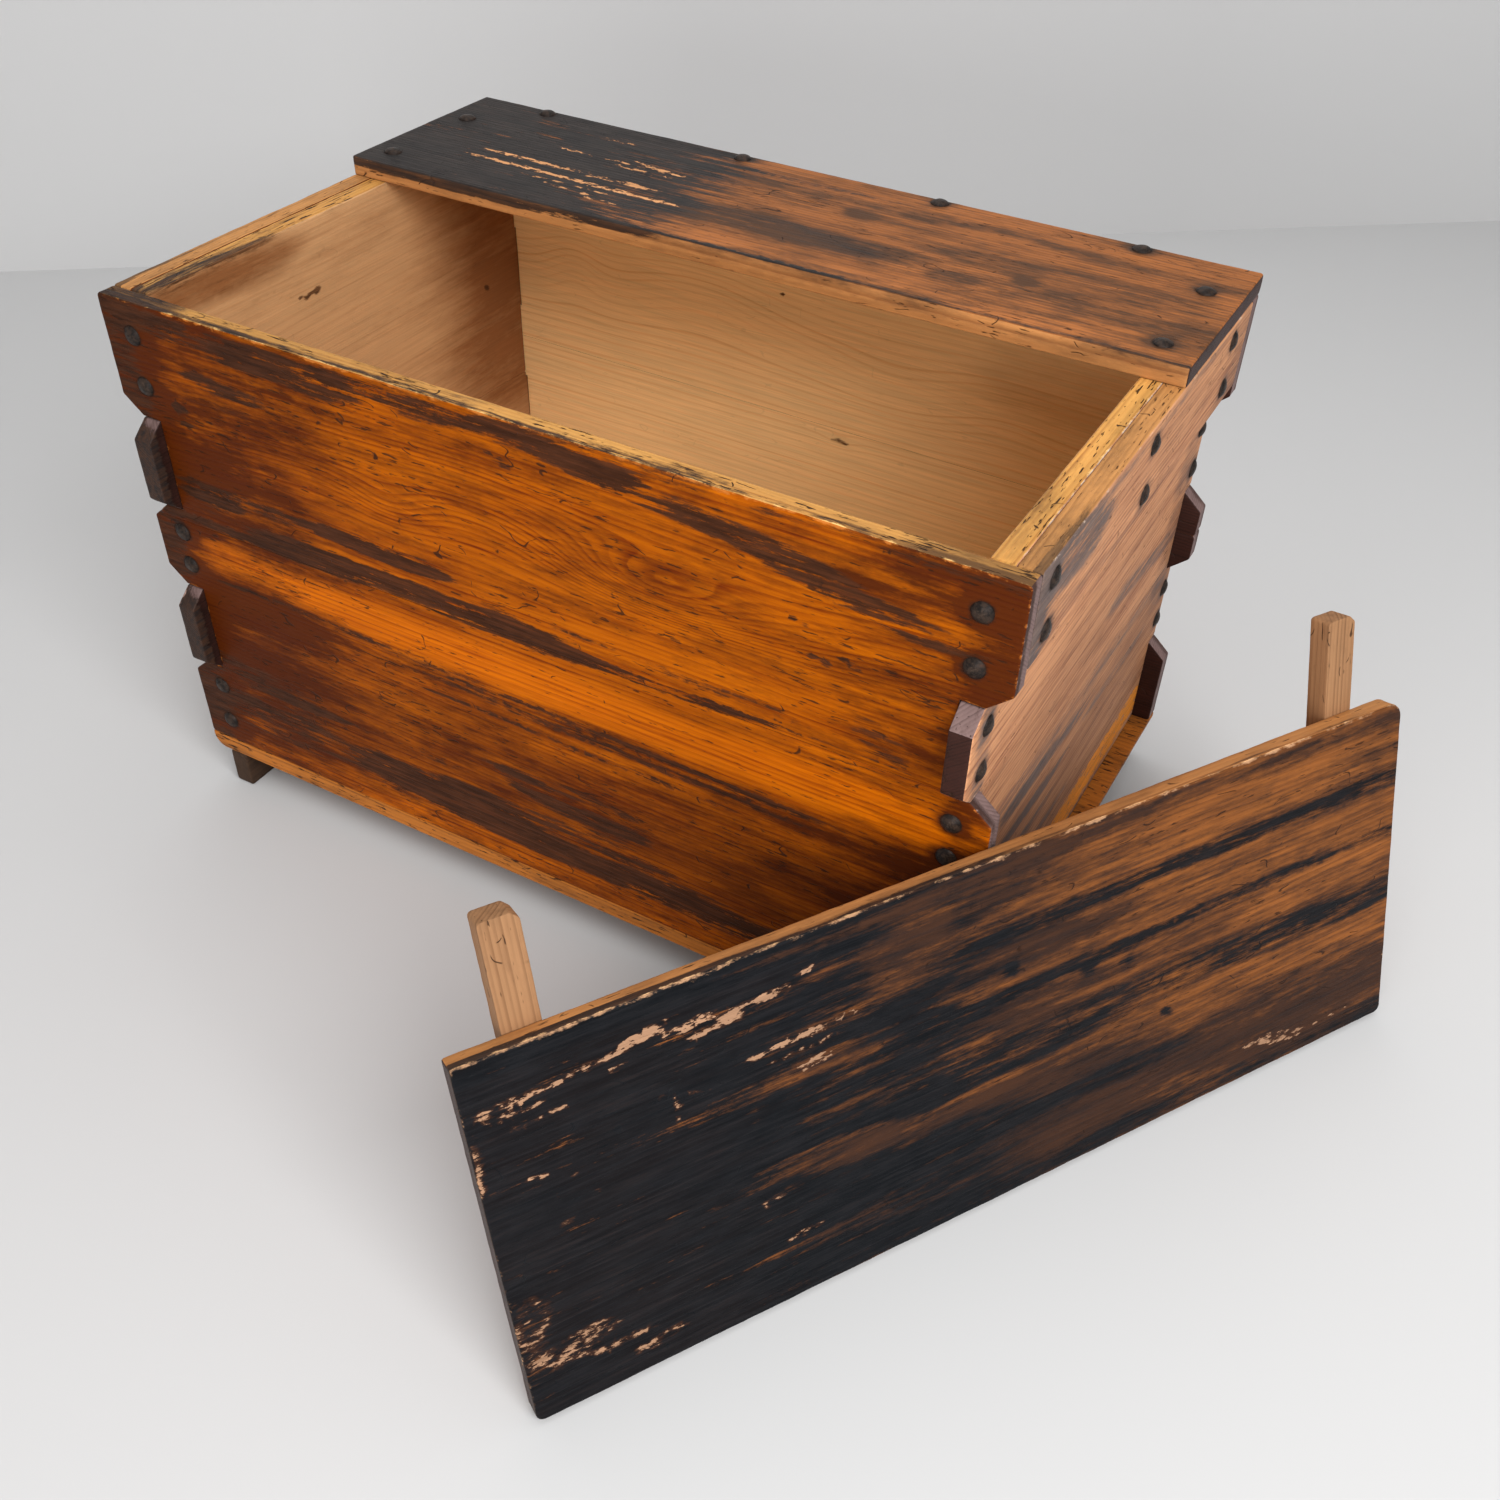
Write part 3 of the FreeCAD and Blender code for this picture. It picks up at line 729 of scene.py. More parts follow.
def board(node, place, outer, inner, edge_of, body="chest",
          cell=WIDE_CELL, corner=CORNER_RADIUS, outer_marks=(), inner_marks=(), bumps=(),
          side_step=SIDE_STEP, inner_span=None, inlay=None):
    """One board: worn arrises round a CAD outline, two slightly uneven faces.

    Outside inner_span, a stretch along the grain, the inner face takes the tongues' dark stain
    and painted shade.
    An inlay is a look and the two corners of the box in which it replaces the others.
    """
    outline, low, high = outline_of(node, place)
    seed = seed_of(node)
    edges = []
    for start, way in zip(outline, np.roll(outline, -1, 0) - outline):
        length = np.hypot(*way)
        edges.append(edge_of(start + way / 2, np.array((way[1], -way[0])) / length, length))
    rim = Rim(outline, edges, corner, seed)
    between = max(1, round((high - low) / side_step)) - 1
    depths = [low + (high - low) * (i + 1) / (between + 1) for i in range(between)]
    rings = (rim.arris("arris", low, 1)[::-1] + [rim.side(depth) for depth in depths]
             + rim.arris("back_arris", high, -1))

    def inner_slot(a):
        """Material slot of the inner face, at a place along the grain."""
        return 2 if inner_span and not inner_span[0] < a < inner_span[1] else 1

    count = len(rim.points)
    edge_looks = [LOOKS[edge.look] for edge in edges]
    looks = [LOOKS[outer], LOOKS[inner], LOOKS["stained_and_shaded_faces"]]
    looks += [look for look in dict.fromkeys(edge_looks) if look not in looks]
    faces, slots = [], []
    for r in range(len(rings) - 1):
        for i in range(count):
            k = (i + 1) % count
            faces.append((r * count + i, r * count + k, (r + 1) * count + k, (r + 1) * count + i))
            if r < FACE_BANDS:
                slots.append(0)
            elif r >= len(rings) - 1 - FACE_BANDS:
                slots.append(inner_slot(rim.points[i][0]))
            else:
                slots.append(looks.index(edge_looks[rim.edge_on[i]]))

    vertices = np.vstack(rings)
    margin = (max(rim.values("arris").max(), rim.values("back_arris").max())
              + rim.values("sway").max() + ARRIS_CLEARANCE)
    last = (len(rings) - 1) * count
    for face, (first, depth, sign) in enumerate(((0, low, 1), (last, high, -1))):
        loop = vertices[first:first + count, :2]
        extra, triangles = fill(loop, outline, margin, np.array(cell), seed + face)
        hollows = [HOLLOW * (0.5 + 0.5 * ripple((a / 3, b, depth), HOLLOW_LENGTH, seed))
                   for a, b in extra]
        grid_first = len(vertices)
        flat = np.hstack([extra, depth + sign * np.array(hollows)[:, None]])
        vertices = np.vstack([vertices, flat])
        for triangle in triangles:
            corners = [first + i if i < count else grid_first + i - count for i in triangle]
            faces.append(corners if face else corners[::-1])
            middle = np.mean([vertices[i][0] for i in corners])
            slots.append(inner_slot(middle) if face else 0)
    if inlay:
        look, nearest, farthest = inlay
        looks.append(LOOKS[look])
        for index, corners in enumerate(faces):
            centre = vertices[list(corners)].mean(0)
            if (centre > nearest).all() and (centre < farthest).all():
                slots[index] = len(looks) - 1
    if place.mirrored:
        faces = [face[::-1] for face in faces]
    seeds = seed, seed_of(node.replace("lower", "upper"))
    values = attributes_of(vertices, outline, edges, low, high, outer_marks, inner_marks, bumps,
                           seeds)
    made = new_object("worn_" + node, place.shared(vertices), faces, slots, looks, values,
                      body)
    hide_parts(node)


# ---- Nails ----
CIRCLE = [(math.cos(2 * math.pi * s / HEAD_SEGMENTS), math.sin(2 * math.pi * s / HEAD_SEGMENTS))
          for s in range(HEAD_SEGMENTS)]


def nail_group(node, place, body):
    """Forged nails of one group: uneven domed heads on tapering shanks. Gives the crowns."""
    points = node_points(node, place)
    crown_depth = points[:, 2].min()
    length = points[:, 2].max() - crown_depth
    crowns = np.unique(points[points[:, 2] < crown_depth + 2 * CLOSE].round(1), axis=0)[:, :2]
    reach = np.hypot(*(points[:, :2] - crowns[0]).T)
    radius = reach[reach < LARGEST_HEAD].max()
    at_brim = (reach < LARGEST_HEAD) & (reach > radius - BRIM_BAND)
    brim = points[at_brim][:, 2].min()
    rise = brim - crown_depth
    vertices, faces, crowned = [], [], []
    for index, (a, b) in enumerate(crowns):
        seed = 3.1 * index + 0.37 * len(node) + a / 97
        first = len(vertices)
        vertices.append((a, b, crown_depth + CROWN_DENT * rise * ripple((a, b, 0), 5, seed)))
        crowned.append(1.0)
        for r in range(1, HEAD_RINGS + 1):
            part = r / HEAD_RINGS
            for c, d in CIRCLE:
                dent = ripple((6 * part * c, 6 * part * d, 0), DENT_LENGTH, seed)
                uneven = HEAD_UNEVENNESS * part * ripple((3 * c, 3 * d, 1), 2.5, seed)
                wide = radius * part * (1 + uneven)
                drop = (rise * (1 - (1 - part ** 2.2) ** 0.85)
                        - HEAD_DENT * rise * dent * (1 - part ** 4))
                vertices.append((a + wide * c, b + wide * d, crown_depth + drop))
                crowned.append(1 - part)
        faces += [(first, first + 1 + s, first + 1 + (s + 1) % HEAD_SEGMENTS)
                  for s in range(HEAD_SEGMENTS)]
        rows = [first + 1 + r * HEAD_SEGMENTS for r in range(HEAD_RINGS)]
        for depth, wide in UNDER_HEAD + ((length - rise, POINT_WIDTH),):
            rows.append(len(vertices))
            vertices += [(a + radius * wide * c, b + radius * wide * d, brim + depth)
                         for c, d in CIRCLE]
            crowned += [0.0] * HEAD_SEGMENTS
        for upper_row, lower_row in zip(rows, rows[1:]):
            for s in range(HEAD_SEGMENTS):
                k = (s + 1) % HEAD_SEGMENTS
                faces.append((upper_row + s, lower_row + s, lower_row + k, upper_row + k))
        faces.append(tuple(rows[-1] + s for s in range(HEAD_SEGMENTS))[::-1])
    local = np.array(vertices)
    if place.mirrored:
        faces = [face[::-1] for face in faces]
    values = {"wood": local * MM, "edge": np.array(crowned)}
    made = new_object("forged_" + node, place.shared(local), faces, [0] * len(faces), [IRON],
                      values, body)
    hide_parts(node)
    return [tuple(crown) for crown in crowns]


# ---- Groups of nails, and the stains round those that come through a face ----
paint, bare, stain_and_shade, tone, grime = (partial(mark, channel) for channel in CHANNELS)
NAILS = {
    "front": ("front_left_nails", "front_right_nails"),
    "back": ("back_left_nails", "back_right_nails"),
    "left": ("left_tongue_nails", "left_rail_nails"),
    "right": ("right_tongue_nails", "right_rail_nails"),
    "top": ("fixed_board_nails",),
}
nail_marks = {}
for side, groups in NAILS.items():
    crowns = [crown for group in groups for crown in nail_group(group, PLACES[side], "chest")]
    nail_marks[side] = [stain_and_shade(0.8, 17, 15, crown) for crown in crowns]
    nail_marks[side] += [grime(1.0, 13, 12.5, crown) for crown in crowns]
for group in ("bottom_nails", "left_bearer_nails", "right_bearer_nails"):
    nail_group(group, UNDER, "chest")
for group in ("lid_left_batten_nails", "lid_right_batten_nails"):
    nail_group(group, BATTEN, "lid")

# ---- Marks: strength, half lengths, then places along and up each face ----
LENGTH, DEPTH = node_points("fixed_top_board", TOP)[:, :2].max(0)
RIM = node_points("front_upper_board", FRONT)[:, 1].max()


def from_rear(*marks):
    """Marks of the top whose b was measured from its rear edge forward."""
    return [each._replace(points=tuple((a, DEPTH - b) for a, b in each.points)) for each in marks]


RIM_MARKS = [
    stain_and_shade(1.2, 40, 5, (0, RIM + 1), (60, RIM + 1)),
    paint(0.7, 60, 2, (-20, RIM + 1), (40, RIM + 1)),
    paint(0.58, 300, 2, (110, RIM + 1), (620, RIM + 1)),
    stain_and_shade(0.6, 60, 3, (960, RIM + 1), (1000, RIM + 1)),
]
FRONT_MARKS = nail_marks["front"] + RIM_MARKS + [
    # dark ends, bright middle
    stain_and_shade(0.85, 60, 400, (0, 0), (0, RIM)), paint(0.75, 40, 400, (0, 0), (0, RIM)),
    stain_and_shade(0.65, 170, 200, (90, 400), (90, 520)), stain_and_shade(0.3, 150, 200, (80, 60), (80, 240)),
    tone(-0.5, 500, 80, (60, 150), (940, 140)), tone(-0.12, 400, 110, (60, 450), (600, 440)),
    stain_and_shade(0.6, 40, 400, (LENGTH, 0), (LENGTH, RIM)),
    stain_and_shade(0.5, 130, 400, (LENGTH, 0), (LENGTH, RIM)), stain_and_shade(0.4, 400, 80, (60, 90), (560, 80)),
    stain_and_shade(0.35, 400, 60, (60, 200), (700, 196)), stain_and_shade(0.3, 400, 26, (60, 555), (940, 555)),
    paint(0.35, 90, 90, (130, 470), (130, 380)),
    # dark band under the rim and its diagonal
    paint(0.5, 400, 7, (40, 577), (960, 577)), paint(0.6, 60, 12, (80, 564), (170, 560)),
    paint(0.7, 50, 14, (200, 562), (280, 556)), paint(0.75, 50, 12, (320, 566), (400, 564)),
    paint(0.7, 50, 12, (500, 568), (590, 562)),
    paint(0.8, 60, 12, (620, 556), (760, 542), (830, 522), (920, 507)),
    paint(0.5, 30, 8, (120, 520), (180, 515)),
    # spots and nicks
    paint(1.0, 5, 4, (338, 501)), paint(1.0, 4, 5, (607, 434)), paint(0.9, 8, 5, (80, 480)),
    paint(0.9, 8, 5, (85, 460)), paint(0.9, 12, 3, (480, 545), (495, 537)),
    paint(0.9, 9, 3, (812, 447), (830, 443)), paint(0.9, 9, 3, (845, 455), (858, 449)),
    paint(0.8, 9, 3, (795, 480), (806, 476)), paint(0.8, 9, 3, (664, 414), (677, 410)),
    # above the seam
    paint(0.75, 50, 11, (280, 390), (370, 390)), paint(0.6, 60, 8, (150, 392), (350, 386)),
    paint(0.7, 25, 12, (78, 384), (118, 380)), paint(0.8, 50, 5, (50, 342), (240, 342)),
    paint(0.95, 90, 14, (245, 352), (360, 354), (490, 350)),
    paint(0.9, 60, 6, (490, 350), (700, 350), (770, 354)),
    paint(0.55, 80, 3, (770, 356), (890, 356)), paint(0.6, 60, 7, (500, 371), (780, 371)),
    paint(0.6, 22, 20, (872, 384), (902, 372)),
    # pale yellow stripe under the seam, dark streaks below it
    tone(0.48, 200, 20, (60, 300), (270, 296), (600, 298), (950, 304)),
    stain_and_shade(-0.6, 200, 22, (80, 300), (270, 296), (600, 298), (950, 304)),
    paint(0.8, 120, 5, (180, 268), (420, 264), (760, 258)),
    paint(0.7, 120, 6, (400, 250), (720, 246)), paint(0.65, 90, 4, (420, 230), (680, 229)),
    stain_and_shade(0.4, 200, 14, (200, 258), (900, 250)),
    # lower left, mottled grey brown
    paint(0.62, 60, 34, (60, 130), (160, 125)), paint(0.6, 300, 26, (60, 78), (720, 76)),
    paint(0.8, 60, 22, (300, 86), (430, 84)), paint(0.8, 120, 14, (430, 70), (720, 70)),
    paint(0.55, 60, 10, (420, 106), (620, 106)), paint(0.75, 55, 26, (500, 150), (600, 146)),
    paint(0.55, 60, 5, (180, 130), (340, 130)), paint(0.5, 50, 5, (330, 160), (450, 160)),
    # worn strip at the foot
    tone(0.25, 400, 10, (40, 32), (960, 32)), bare(0.4, 400, 6, (60, 30), (940, 30)),
]
FRONT_BUMPS = (
    (46, 660, 462, 95, 30), (-18, 450, 470, 110, 60), (14, 800, 470, 90, 70),
    (16, 350, 452, 50, 26), (-10, 240, 430, 120, 60), (8, 560, 200, 300, 90),
)
BACK_MARKS = nail_marks["back"] + [
    stain_and_shade(0.75, 60, 400, (0, 0), (0, RIM)), stain_and_shade(0.75, 60, 400, (LENGTH, 0), (LENGTH, RIM)),
    paint(0.6, 400, 10, (40, 574), (960, 574)), paint(0.7, 200, 14, (120, 318), (620, 312)),
    paint(0.6, 200, 26, (300, 70), (860, 66)), tone(0.4, 300, 22, (100, 268), (900, 262)),
]
RAIL_MARKS = [
    # grey weathering at the front and under the rim
    paint(1.1, 34, 60, (16, 560), (16, 500)), paint(0.85, 60, 26, (60, 562), (150, 548)),
    paint(0.6, 200, 8, (100, 576), (400, 576)), stain_and_shade(0.45, 30, 60, (610, 560), (610, 500)),
]
END_MARKS = [
    # grey weathering at the front and round the nails
    paint(0.7, 20, 200, (12, 120), (12, 480)), stain_and_shade(0.3, 200, 40, (60, 480), (560, 470)),
    paint(0.5, 3, 14, (213, 520), (213, 535)),
    # streaked and darker below the seam
    tone(-0.4, 400, 90, (0, 150), (DEPTH, 140)), tone(0.2, 200, 60, (180, 470), (480, 450)),
    paint(0.55, 200, 14, (60, 262), (560, 246)), paint(0.9, 60, 10, (150, 236), (330, 222)),
    paint(0.85, 60, 9, (105, 200), (260, 186)), paint(0.75, 60, 9, (60, 160), (240, 150)),
    paint(0.7, 60, 8, (90, 120), (300, 112)), paint(0.65, 60, 8, (400, 200), (520, 190)),
    paint(0.6, 60, 12, (420, 330), (600, 300)), stain_and_shade(0.5, 30, 60, (600, 255), (600, 380)),
    # bright foot with a dark joint
    paint(0.9, 300, 3, (22, 26), (624, 26)), bare(1.4, 60, 23, (30, 56), (620, 56)),
]
LEFT_MARKS = [
    stain_and_shade(1.0, 20, 400, (-25, 0), (-25, RIM)), paint(1.5, 16, 400, (-25, 0), (-25, RIM)),
    paint(0.45, 60, 4, (0, RIM), (500, RIM)),
]
TOP_MARKS = nail_marks["top"] + [
    paint(1.5, 190, 400, (40, 380), (40, 650)), paint(0.9, 110, 400, (290, 380), (290, 650)),
    paint(0.22, 500, 400, (700, 380), (700, 650)),
] + from_rear(
    bare(0.95, 60, 5, (160, 153), (310, 155)), bare(0.95, 70, 5, (165, 176), (340, 180)),
    bare(0.8, 40, 3, (215, 193), (290, 194)), bare(0.8, 20, 3, (250, 204), (285, 206)),
    bare(0.8, 18, 4, (295, 214), (325, 215)), bare(0.75, 50, 3, (205, 101), (340, 101)),
    bare(0.75, 25, 4, (285, 112), (330, 114)), bare(0.75, 25, 4, (285, 92), (330, 94)),
    bare(0.6, 18, 6, (218, 45), (242, 45)), stain_and_shade(0.7, 60, 26, (400, 180), (560, 178)),
    stain_and_shade(0.6, 40, 20, (550, 180), (660, 170)), paint(0.3, 50, 20, (420, 170), (600, 176)),
    stain_and_shade(0.7, 20, 18, (575, 88)), stain_and_shade(0.7, 20, 14, (715, 190), (740, 188)),
    stain_and_shade(0.7, 14, 12, (795, 158)), tone(0.35, 300, 16, (400, 246), (980, 246)),
    paint(0.5, 100, 2.5, (370, 38), (550, 38)), paint(0.9, 60, 2, (150, 255), (560, 255)),
    paint(0.55, 90, 1.5, (560, 255), (970, 255)), stain_and_shade(0.35, 200, 6, (520, 258), (1000, 258)),
    stain_and_shade(0.4, 160, 30, (820, 130), (960, 200)), stain_and_shade(0.5, 300, 10, (380, 60), (980, 55)))
LID_MARKS = [
    # black at the left, thinning into streaks
    paint(1.7, 270, 400, (-60, 0), (-60, 375)), paint(0.6, 190, 400, (280, 0), (280, 300)),
    paint(0.5, 600, 400, (700, 0), (700, 375)), paint(-0.5, 60, 16, (200, 240), (320, 236)),
    paint(-0.45, 60, 12, (180, 150), (340, 140)), paint(-0.4, 50, 14, (360, 130), (470, 128)),
    paint(-0.5, 34, 34, (395, 315), (420, 330)), paint(0.35, 400, 14, (300, 14), (1000, 10)),
    paint(0.5, 160, 8, (620, 294), (960, 294)), paint(0.45, 90, 5, (740, 232), (960, 232)),
    paint(0.5, 160, 11, (480, 155), (600, 175), (780, 168), (1000, 155)),
    paint(0.35, 120, 8, (370, 228), (600, 228)), paint(0.45, 120, 12, (350, 85), (600, 85)),
    stain_and_shade(0.7, 220, 300, (430, 190)), stain_and_shade(0.35, 200, 40, (760, 190), (1000, 180)),
    stain_and_shade(0.7, 400, 9, (100, 364), (960, 364)), stain_and_shade(0.9, 200, 60, (520, 60), (1000, 44)),
    stain_and_shade(-0.3, 80, 18, (650, 145), (790, 145)), stain_and_shade(-0.3, 80, 34, (640, 335), (760, 335)),
    stain_and_shade(-0.3, 110, 24, (680, 210), (900, 210)), stain_and_shade(-0.25, 110, 30, (800, 118), (1000, 118)),
    bare(0.85, 12, 5, (15, 324), (95, 330)), bare(0.8, 10, 4, (112, 331), (165, 338)),
    bare(0.95, 10, 5, (178, 330), (215, 334)), bare(1.0, 10, 5, (228, 327), (285, 330)),
    bare(0.85, 8, 3, (25, 314), (60, 316)), bare(0.8, 6, 3, (120, 318), (136, 320)),
    bare(0.9, 8, 2.5, (40, 300), (80, 303)), bare(0.85, 8, 3, (196, 318), (232, 320)),
    bare(0.8, 6, 2.5, (140, 340), (176, 344)), bare(0.75, 5, 4, (300, 338), (312, 340)),
    bare(0.8, 8, 2.5, (268, 262), (330, 266)), bare(0.75, 6, 3, (40, 250), (52, 246)),
    bare(0.75, 4, 3, (62, 222)), bare(0.75, 5, 3, (76, 236)), bare(0.7, 4, 4, (92, 210)),
    bare(1.0, 10, 3.5, (250, 275), (345, 279)), bare(0.85, 10, 5, (292, 245), (318, 248)),
    bare(0.85, 5, 12, (5, 262), (7, 298)), bare(0.8, 6, 3, (56, 192), (64, 192)),
    bare(0.8, 10, 3, (241, 120), (254, 121)), bare(0.7, 26, 14, (32, 60), (66, 68)),
    bare(0.7, 22, 5, (72, 44), (104, 46)), bare(0.7, 22, 6, (112, 26), (138, 30)),
    bare(0.6, 18, 20, (4, 78), (20, 118)), bare(0.7, 12, 5, (266, 69), (284, 71)),
    bare(0.7, 6, 1.6, (150, 278), (180, 271), (200, 262)),
    bare(0.9, 3, 10, (172, 241), (174, 257)),
    bare(0.85, 30, 1.8, (820, 40), (880, 22), (945, 28)), paint(1.0, 6, 6, (515, 255)),
    paint(1.0, 5, 5, (695, 131)), paint(0.8, 9, 7, (605, 218)), paint(0.8, 9, 6, (650, 212)),
]
LID_BUMPS = (
    (20, 620, 215, 90, 26), (-14, 420, 190, 150, 60), (12, 850, 180, 160, 60),
)
INNER_BACK_BUMPS = (
    (-24, 136, 425, 44, 50), (-30, 330, 430, 110, 60), (16, 600, 385, 90, 50),
    (-14, 745, 370, 70, 45), (8, 536, 285, 24, 12),
)
INNER_BACK_MARKS = [
    paint(0.9, 9, 4, (530, 285), (542, 285)), paint(0.9, 4, 3, (781, 408)),
    paint(0.9, 4, 3, (446, 458)), stain_and_shade(0.3, 120, 60, (820, 430)),
    # painted shade: a darker strip just under the fixed board
    stain_and_shade(0.25, 200, 12, (300, 560), (900, 556)),
]
INNER_LEFT_MARKS = [
    # grey patch by the rim, then knots, a spot and a smear, painted shade under the fixed board
    # towards the back, and a small patch by the rim
    stain_and_shade(0.9, 60, 20, (50, 568), (180, 562)), paint(0.5, 50, 14, (60, 570), (170, 566)),
    paint(0.95, 5, 5, (228, 505)), paint(0.95, 5, 5, (240, 502)), paint(0.95, 5, 6, (252, 504)),
    paint(0.95, 6, 6, (555, 398)), paint(0.9, 4, 3, (495, 370)),
    # the last mark on this line and the first on the next are painted shade under the fixed board
    paint(0.4, 12, 3, (460, 344), (480, 344)), stain_and_shade(0.75, 130, 90, (620, 540), (620, 300)),
    stain_and_shade(0.3, 100, 200, (520, 500), (560, 200)), stain_and_shade(0.2, 60, 20, (290, 560), (330, 540)),
]
INNER_RIGHT_MARKS = [
    tone(0.45, 400, 4, (90, RIM + 1), (600, RIM + 1)), stain_and_shade(0.5, 60, 16, (60, 572), (160, 570)),
    # the last mark on this line is painted shade in the back corner under the fixed board
    paint(0.9, 7, 5, (410, 340)), paint(0.85, 4, 3, (180, 210)), stain_and_shade(0.4, 50, 60, (610, 480)),
]


# ---- The boards ----
RIM_EDGE = Edge(2.3, 2.1, 1.0, 1.0, 0.1, "rims")
SEAM_EDGE = Edge(0.8, 0.35, 0.2, 0.05, 0.45, "seam_edges")
FOOT_EDGE = Edge(1.6, 1.0, 0.6, 0.5, 0.3, "seam_edges")
TIP_EDGE = Edge(1.9, 1.4, 0.7, 0.8, 0.15, "finger_ends")
TONGUE_EDGE = Edge(1.9, 1.4, 0.7, 0.5, 0.15, "stained_and_shaded_faces")
LEDGE = Edge(1.6, 1.2, 0.6, 0.4, 0.3, "bottom_edges")
BEARER_EDGE = Edge(1.6, 1.6, 0.8, 0.4, 0.2, "bearers")
BATTEN_EDGE = Edge(2.2, 0.8, 0.8, 0.5, 0.0, "raw_battens")


def wall_edge(middle, normal, length):
    """Edges of a wall board: rim above, seam or foot, and the fingers at the ends."""
    if normal[1] > 0.95 and length > LONG_EDGE:
        return RIM_EDGE if middle[1] > RIM - 1 else SEAM_EDGE
    if normal[1] < -0.95 and length > LONG_EDGE:
        return FOOT_EDGE if middle[1] < FOOT_LIMIT else SEAM_EDGE
    return TONGUE_EDGE if normal[0] < -0.95 and middle[0] < -1 else TIP_EDGE


def plank_edges(rear, front=None, end=None):
    """Edges of a plank: its rear edge, its front edge and its ends, or one all round."""
    def edge_of(middle, normal, length):
        if normal[1] > 0.7:
            return rear
        return (front if normal[1] < -0.7 else end) or rear
    return edge_of


RAIL_EDGES = plank_edges(Edge(2.4, 1.0, 1.0, 0.8, 0.2, "rail_rims"),
                         Edge(1.8, 1.0, 0.5, 0.4, 0.4, "seam_edges"),
                         Edge(1.6, 1.0, 0.5, 0.4, 0.4, "finger_ends"))
TOP_EDGES = plank_edges(Edge(2.0, 1.5, 0.8, 0.5, 0.2, "seam_edges"),
                        Edge(2.2, 1.2, 0.9, 0.3, 0.5, "sawn_edges"),
                        Edge(2.2, 1.4, 0.8, 0.5, 0.3, "stained_and_shaded_faces"))
LID_EDGES = plank_edges(Edge(2.4, 2.0, 0.9, 1.0, 0.0, "sawn_edges"),
                        Edge(2.0, 1.6, 0.8, 0.5, 0.1, "stained_and_shaded_faces"),
                        Edge(2.0, 1.6, 0.9, 0.75, 0.1, "stained_and_shaded_faces"))
BETWEEN_ENDS = (END_COVER, LENGTH - END_COVER)
BETWEEN_WALLS = (WALL_COVER, DEPTH - WALL_COVER)
# the stretch of the bottom's top face that the walls leave bare
BOTTOM_INSIDE = ("inner_wood_painted_light", (BETWEEN_ENDS[0], BOTTOM_TOP - 1, BETWEEN_WALLS[0]),
                 (BETWEEN_ENDS[1], BOTTOM_TOP + 1, BETWEEN_WALLS[1]))

for level in ("upper", "lower"):
    board("front_" + level + "_board", FRONT, "front_lacquer", "inner_wood_painted_light", wall_edge,
          cell=FINE_CELL, outer_marks=FRONT_MARKS, inner_marks=RIM_MARKS, bumps=FRONT_BUMPS,
          inner_span=BETWEEN_ENDS)
    board("back_" + level + "_board", BACK, "front_lacquer", "inner_wood_painted_light", wall_edge,
          outer_marks=BACK_MARKS, inner_marks=INNER_BACK_MARKS, bumps=INNER_BACK_BUMPS,
          inner_span=BETWEEN_ENDS)
    board("left_end_" + level + "_board", LEFT, "end_walls", "inner_ends", wall_edge,
          outer_marks=nail_marks["left"] + END_MARKS + LEFT_MARKS,
          inner_marks=INNER_LEFT_MARKS + LEFT_MARKS, inner_span=BETWEEN_WALLS)
    board("right_end_" + level + "_board", RIGHT, "end_walls", "inner_ends", wall_edge,
          cell=FINE_CELL, outer_marks=nail_marks["right"] + END_MARKS,
          inner_marks=INNER_RIGHT_MARKS, inner_span=BETWEEN_WALLS)
for side in ("left", "right"):
    board(side + "_top_rail", PLACES[side], "end_walls", "seam_edges", RAIL_EDGES,
          outer_marks=nail_marks[side] + END_MARKS + RAIL_MARKS)
    board(side + "_bearer", PLACES[side], "bearers", "bearers", plank_edges(BEARER_EDGE))
for half in ("front", "rear"):
    board("bottom_" + half + "_board", FRONT, "bottom_edges", "bottom_edges",
          plank_edges(LEDGE), side_step=12.0, corner=1.6,
          inlay=BOTTOM_INSIDE)
board("fixed_top_board", TOP, "fixed_board_top", "undersides", TOP_EDGES,
      cell=FINE_CELL, outer_marks=TOP_MARKS)
board("lid_board", LID, "lid_top", "undersides", LID_EDGES, body="lid",
      cell=FINE_CELL, outer_marks=LID_MARKS, bumps=LID_BUMPS)
for side in ("left", "right"):
    board("lid_" + side + "_batten", BATTEN, "raw_battens", "raw_battens",
          plank_edges(BATTEN_EDGE), body="lid", cell=BATTEN_CELL)


# ---- Studio ----
def slab(name, corners):
    """One flat stage surface."""
    mesh = bpy.data.meshes.new(name)
    mesh.from_pydata([tuple(corner) for corner in corners], [], [tuple(range(len(corners)))])
    mesh.materials.append(plain("pale_" + name))
    placed(name, mesh)


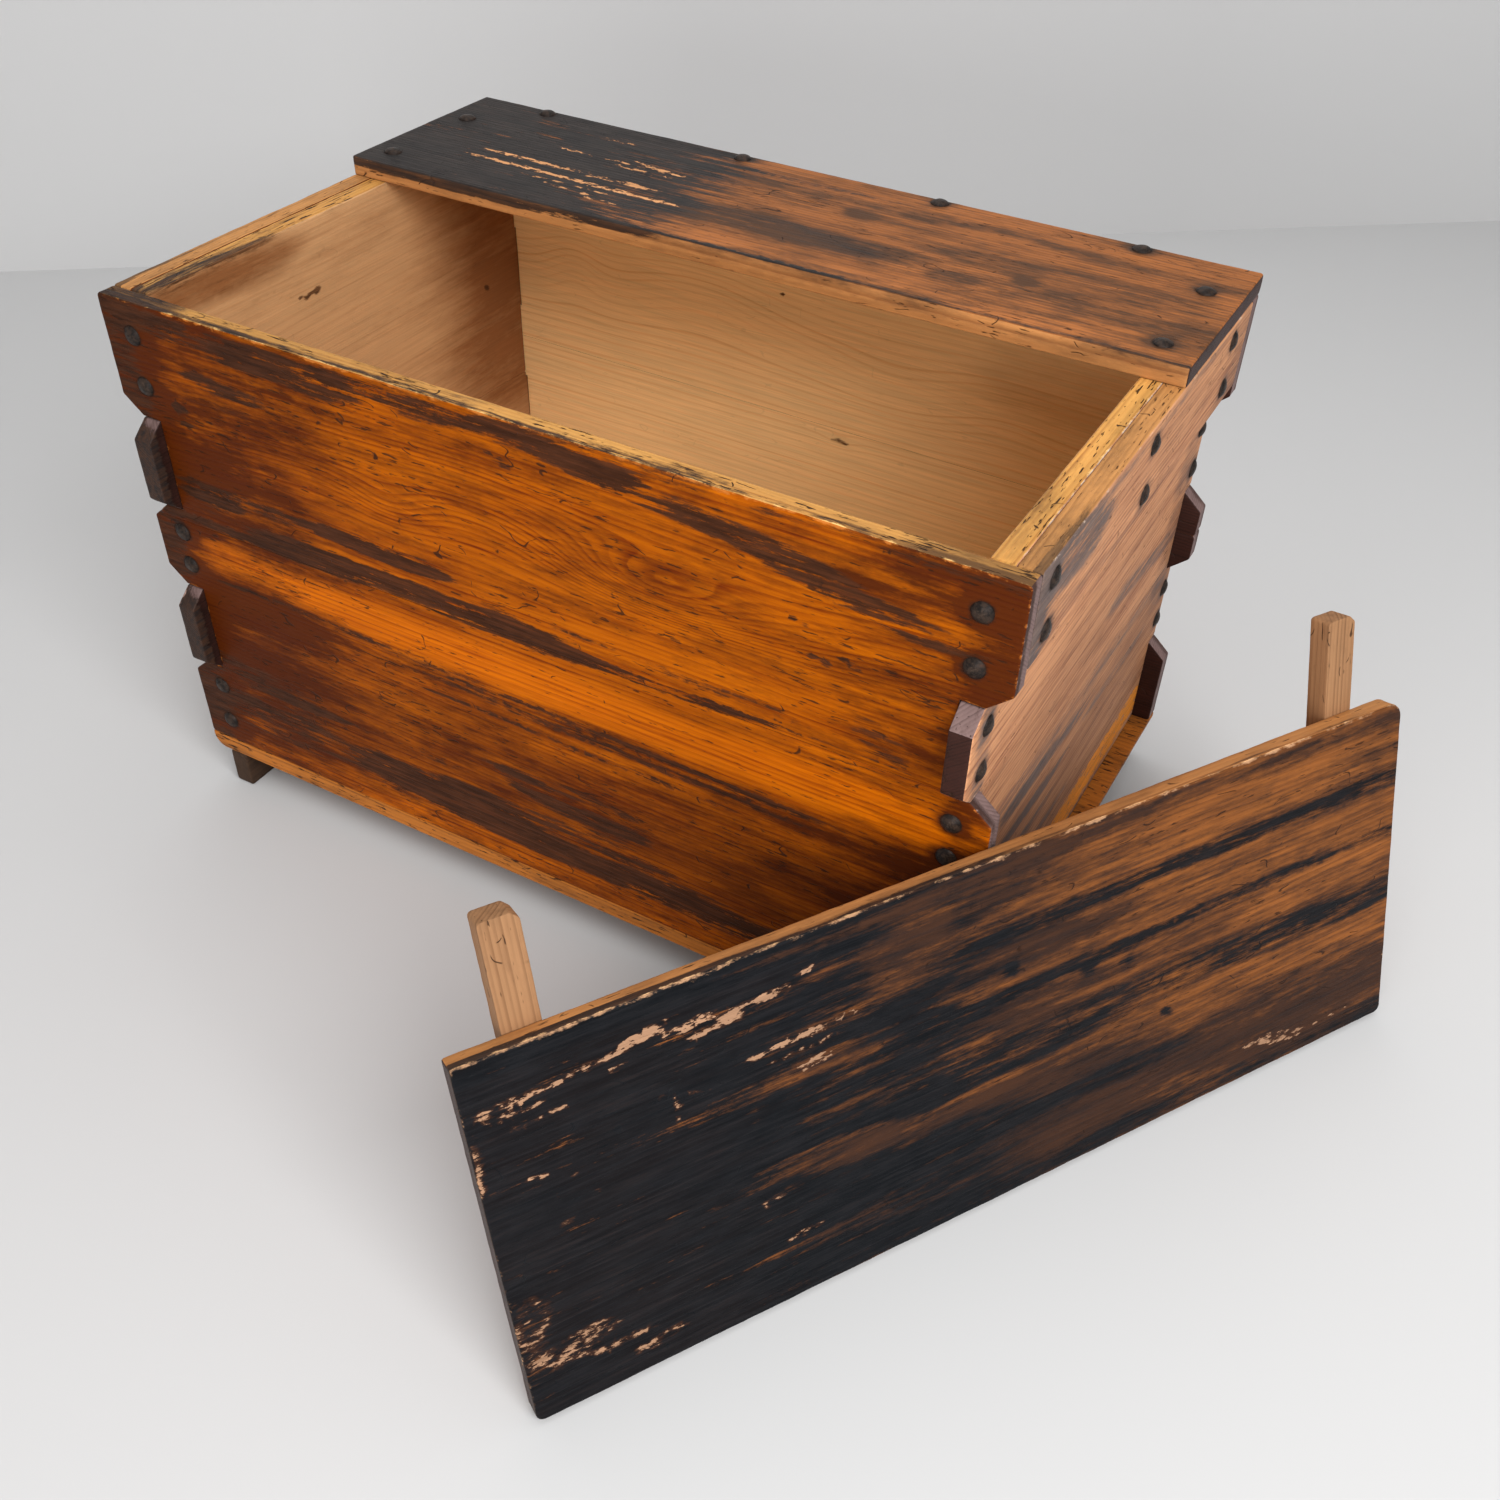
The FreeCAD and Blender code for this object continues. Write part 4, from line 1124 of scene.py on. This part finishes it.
def studio():
    """One wall, and a floor that reaches past it on all sides."""
    turn = math.radians(WALL_TURN)
    way = Vector((math.cos(turn), math.sin(turn), 0)) * FLOOR_REACH * MM
    back = Vector((-math.sin(turn), math.cos(turn), 0))
    away = back * WALL_DISTANCE * MM
    near, far = away - back * FLOOR_REACH * MM, away + back * FLOOR_REACH * MM
    up = Vector((0, 0, WALL_HEIGHT * MM))
    slab("floor", [near - way, near + way, far + way, far - way])
    slab("wall", [away - way, away + way, away + way + up, away - way + up])


def lamp(name, place, target, size, power):
    """Soft square lamp, aimed at a point."""
    data = bpy.data.lights.new(name, "AREA")
    data.shape = "SQUARE"
    data.size = size
    data.energy = power
    made = placed(name, data)
    made.location = place
    made.rotation_euler = (Vector(target) - Vector(place)).to_track_quat("-Z", "Y").to_euler()


def camera():
    """The photograph's view."""
    data = bpy.data.cameras.new("camera")
    data.lens = CAMERA_LENS
    data.sensor_width = CAMERA_SENSOR
    data.shift_x, data.shift_y = CAMERA_SHIFT
    turn = (Matrix.Rotation(math.radians(CAMERA_TURN), 4, "Z")
            @ Matrix.Rotation(math.radians(90 - CAMERA_TILT), 4, "X")
            @ Matrix.Rotation(math.radians(CAMERA_ROLL), 4, "Z"))
    made = placed("camera", data)
    made.matrix_world = Matrix.Translation(ORIGIN + MM * np.array(CAMERA_PLACE)) @ turn
    bpy.context.scene.camera = made


def sky():
    """Even pale light on the chest, and a plain backdrop where the world itself is seen."""
    g = Graph(bpy.data.worlds.new("studio"))
    ambient = g.node("Background", {"Color": srgb(*AMBIENT_COLOUR), "Strength": AMBIENT_STRENGTH})
    backdrop = g.node("Background", {"Color": srgb(*BACKDROP_COLOUR)})
    direct, glossy, through = (g.node("LightPath", output="Is %s Ray" % kind)
                               for kind in ("Camera", "Glossy", "Transmission"))
    seen = g.math("MAXIMUM", g.math("MAXIMUM", direct, glossy), through)
    bpy.context.scene.world = g.finish(g.either(seen, ambient, backdrop), "World")


studio()
camera()
for each_lamp in LAMPS:
    lamp(*each_lamp)
sky()
bpy.context.scene.view_settings.view_transform = "Standard"
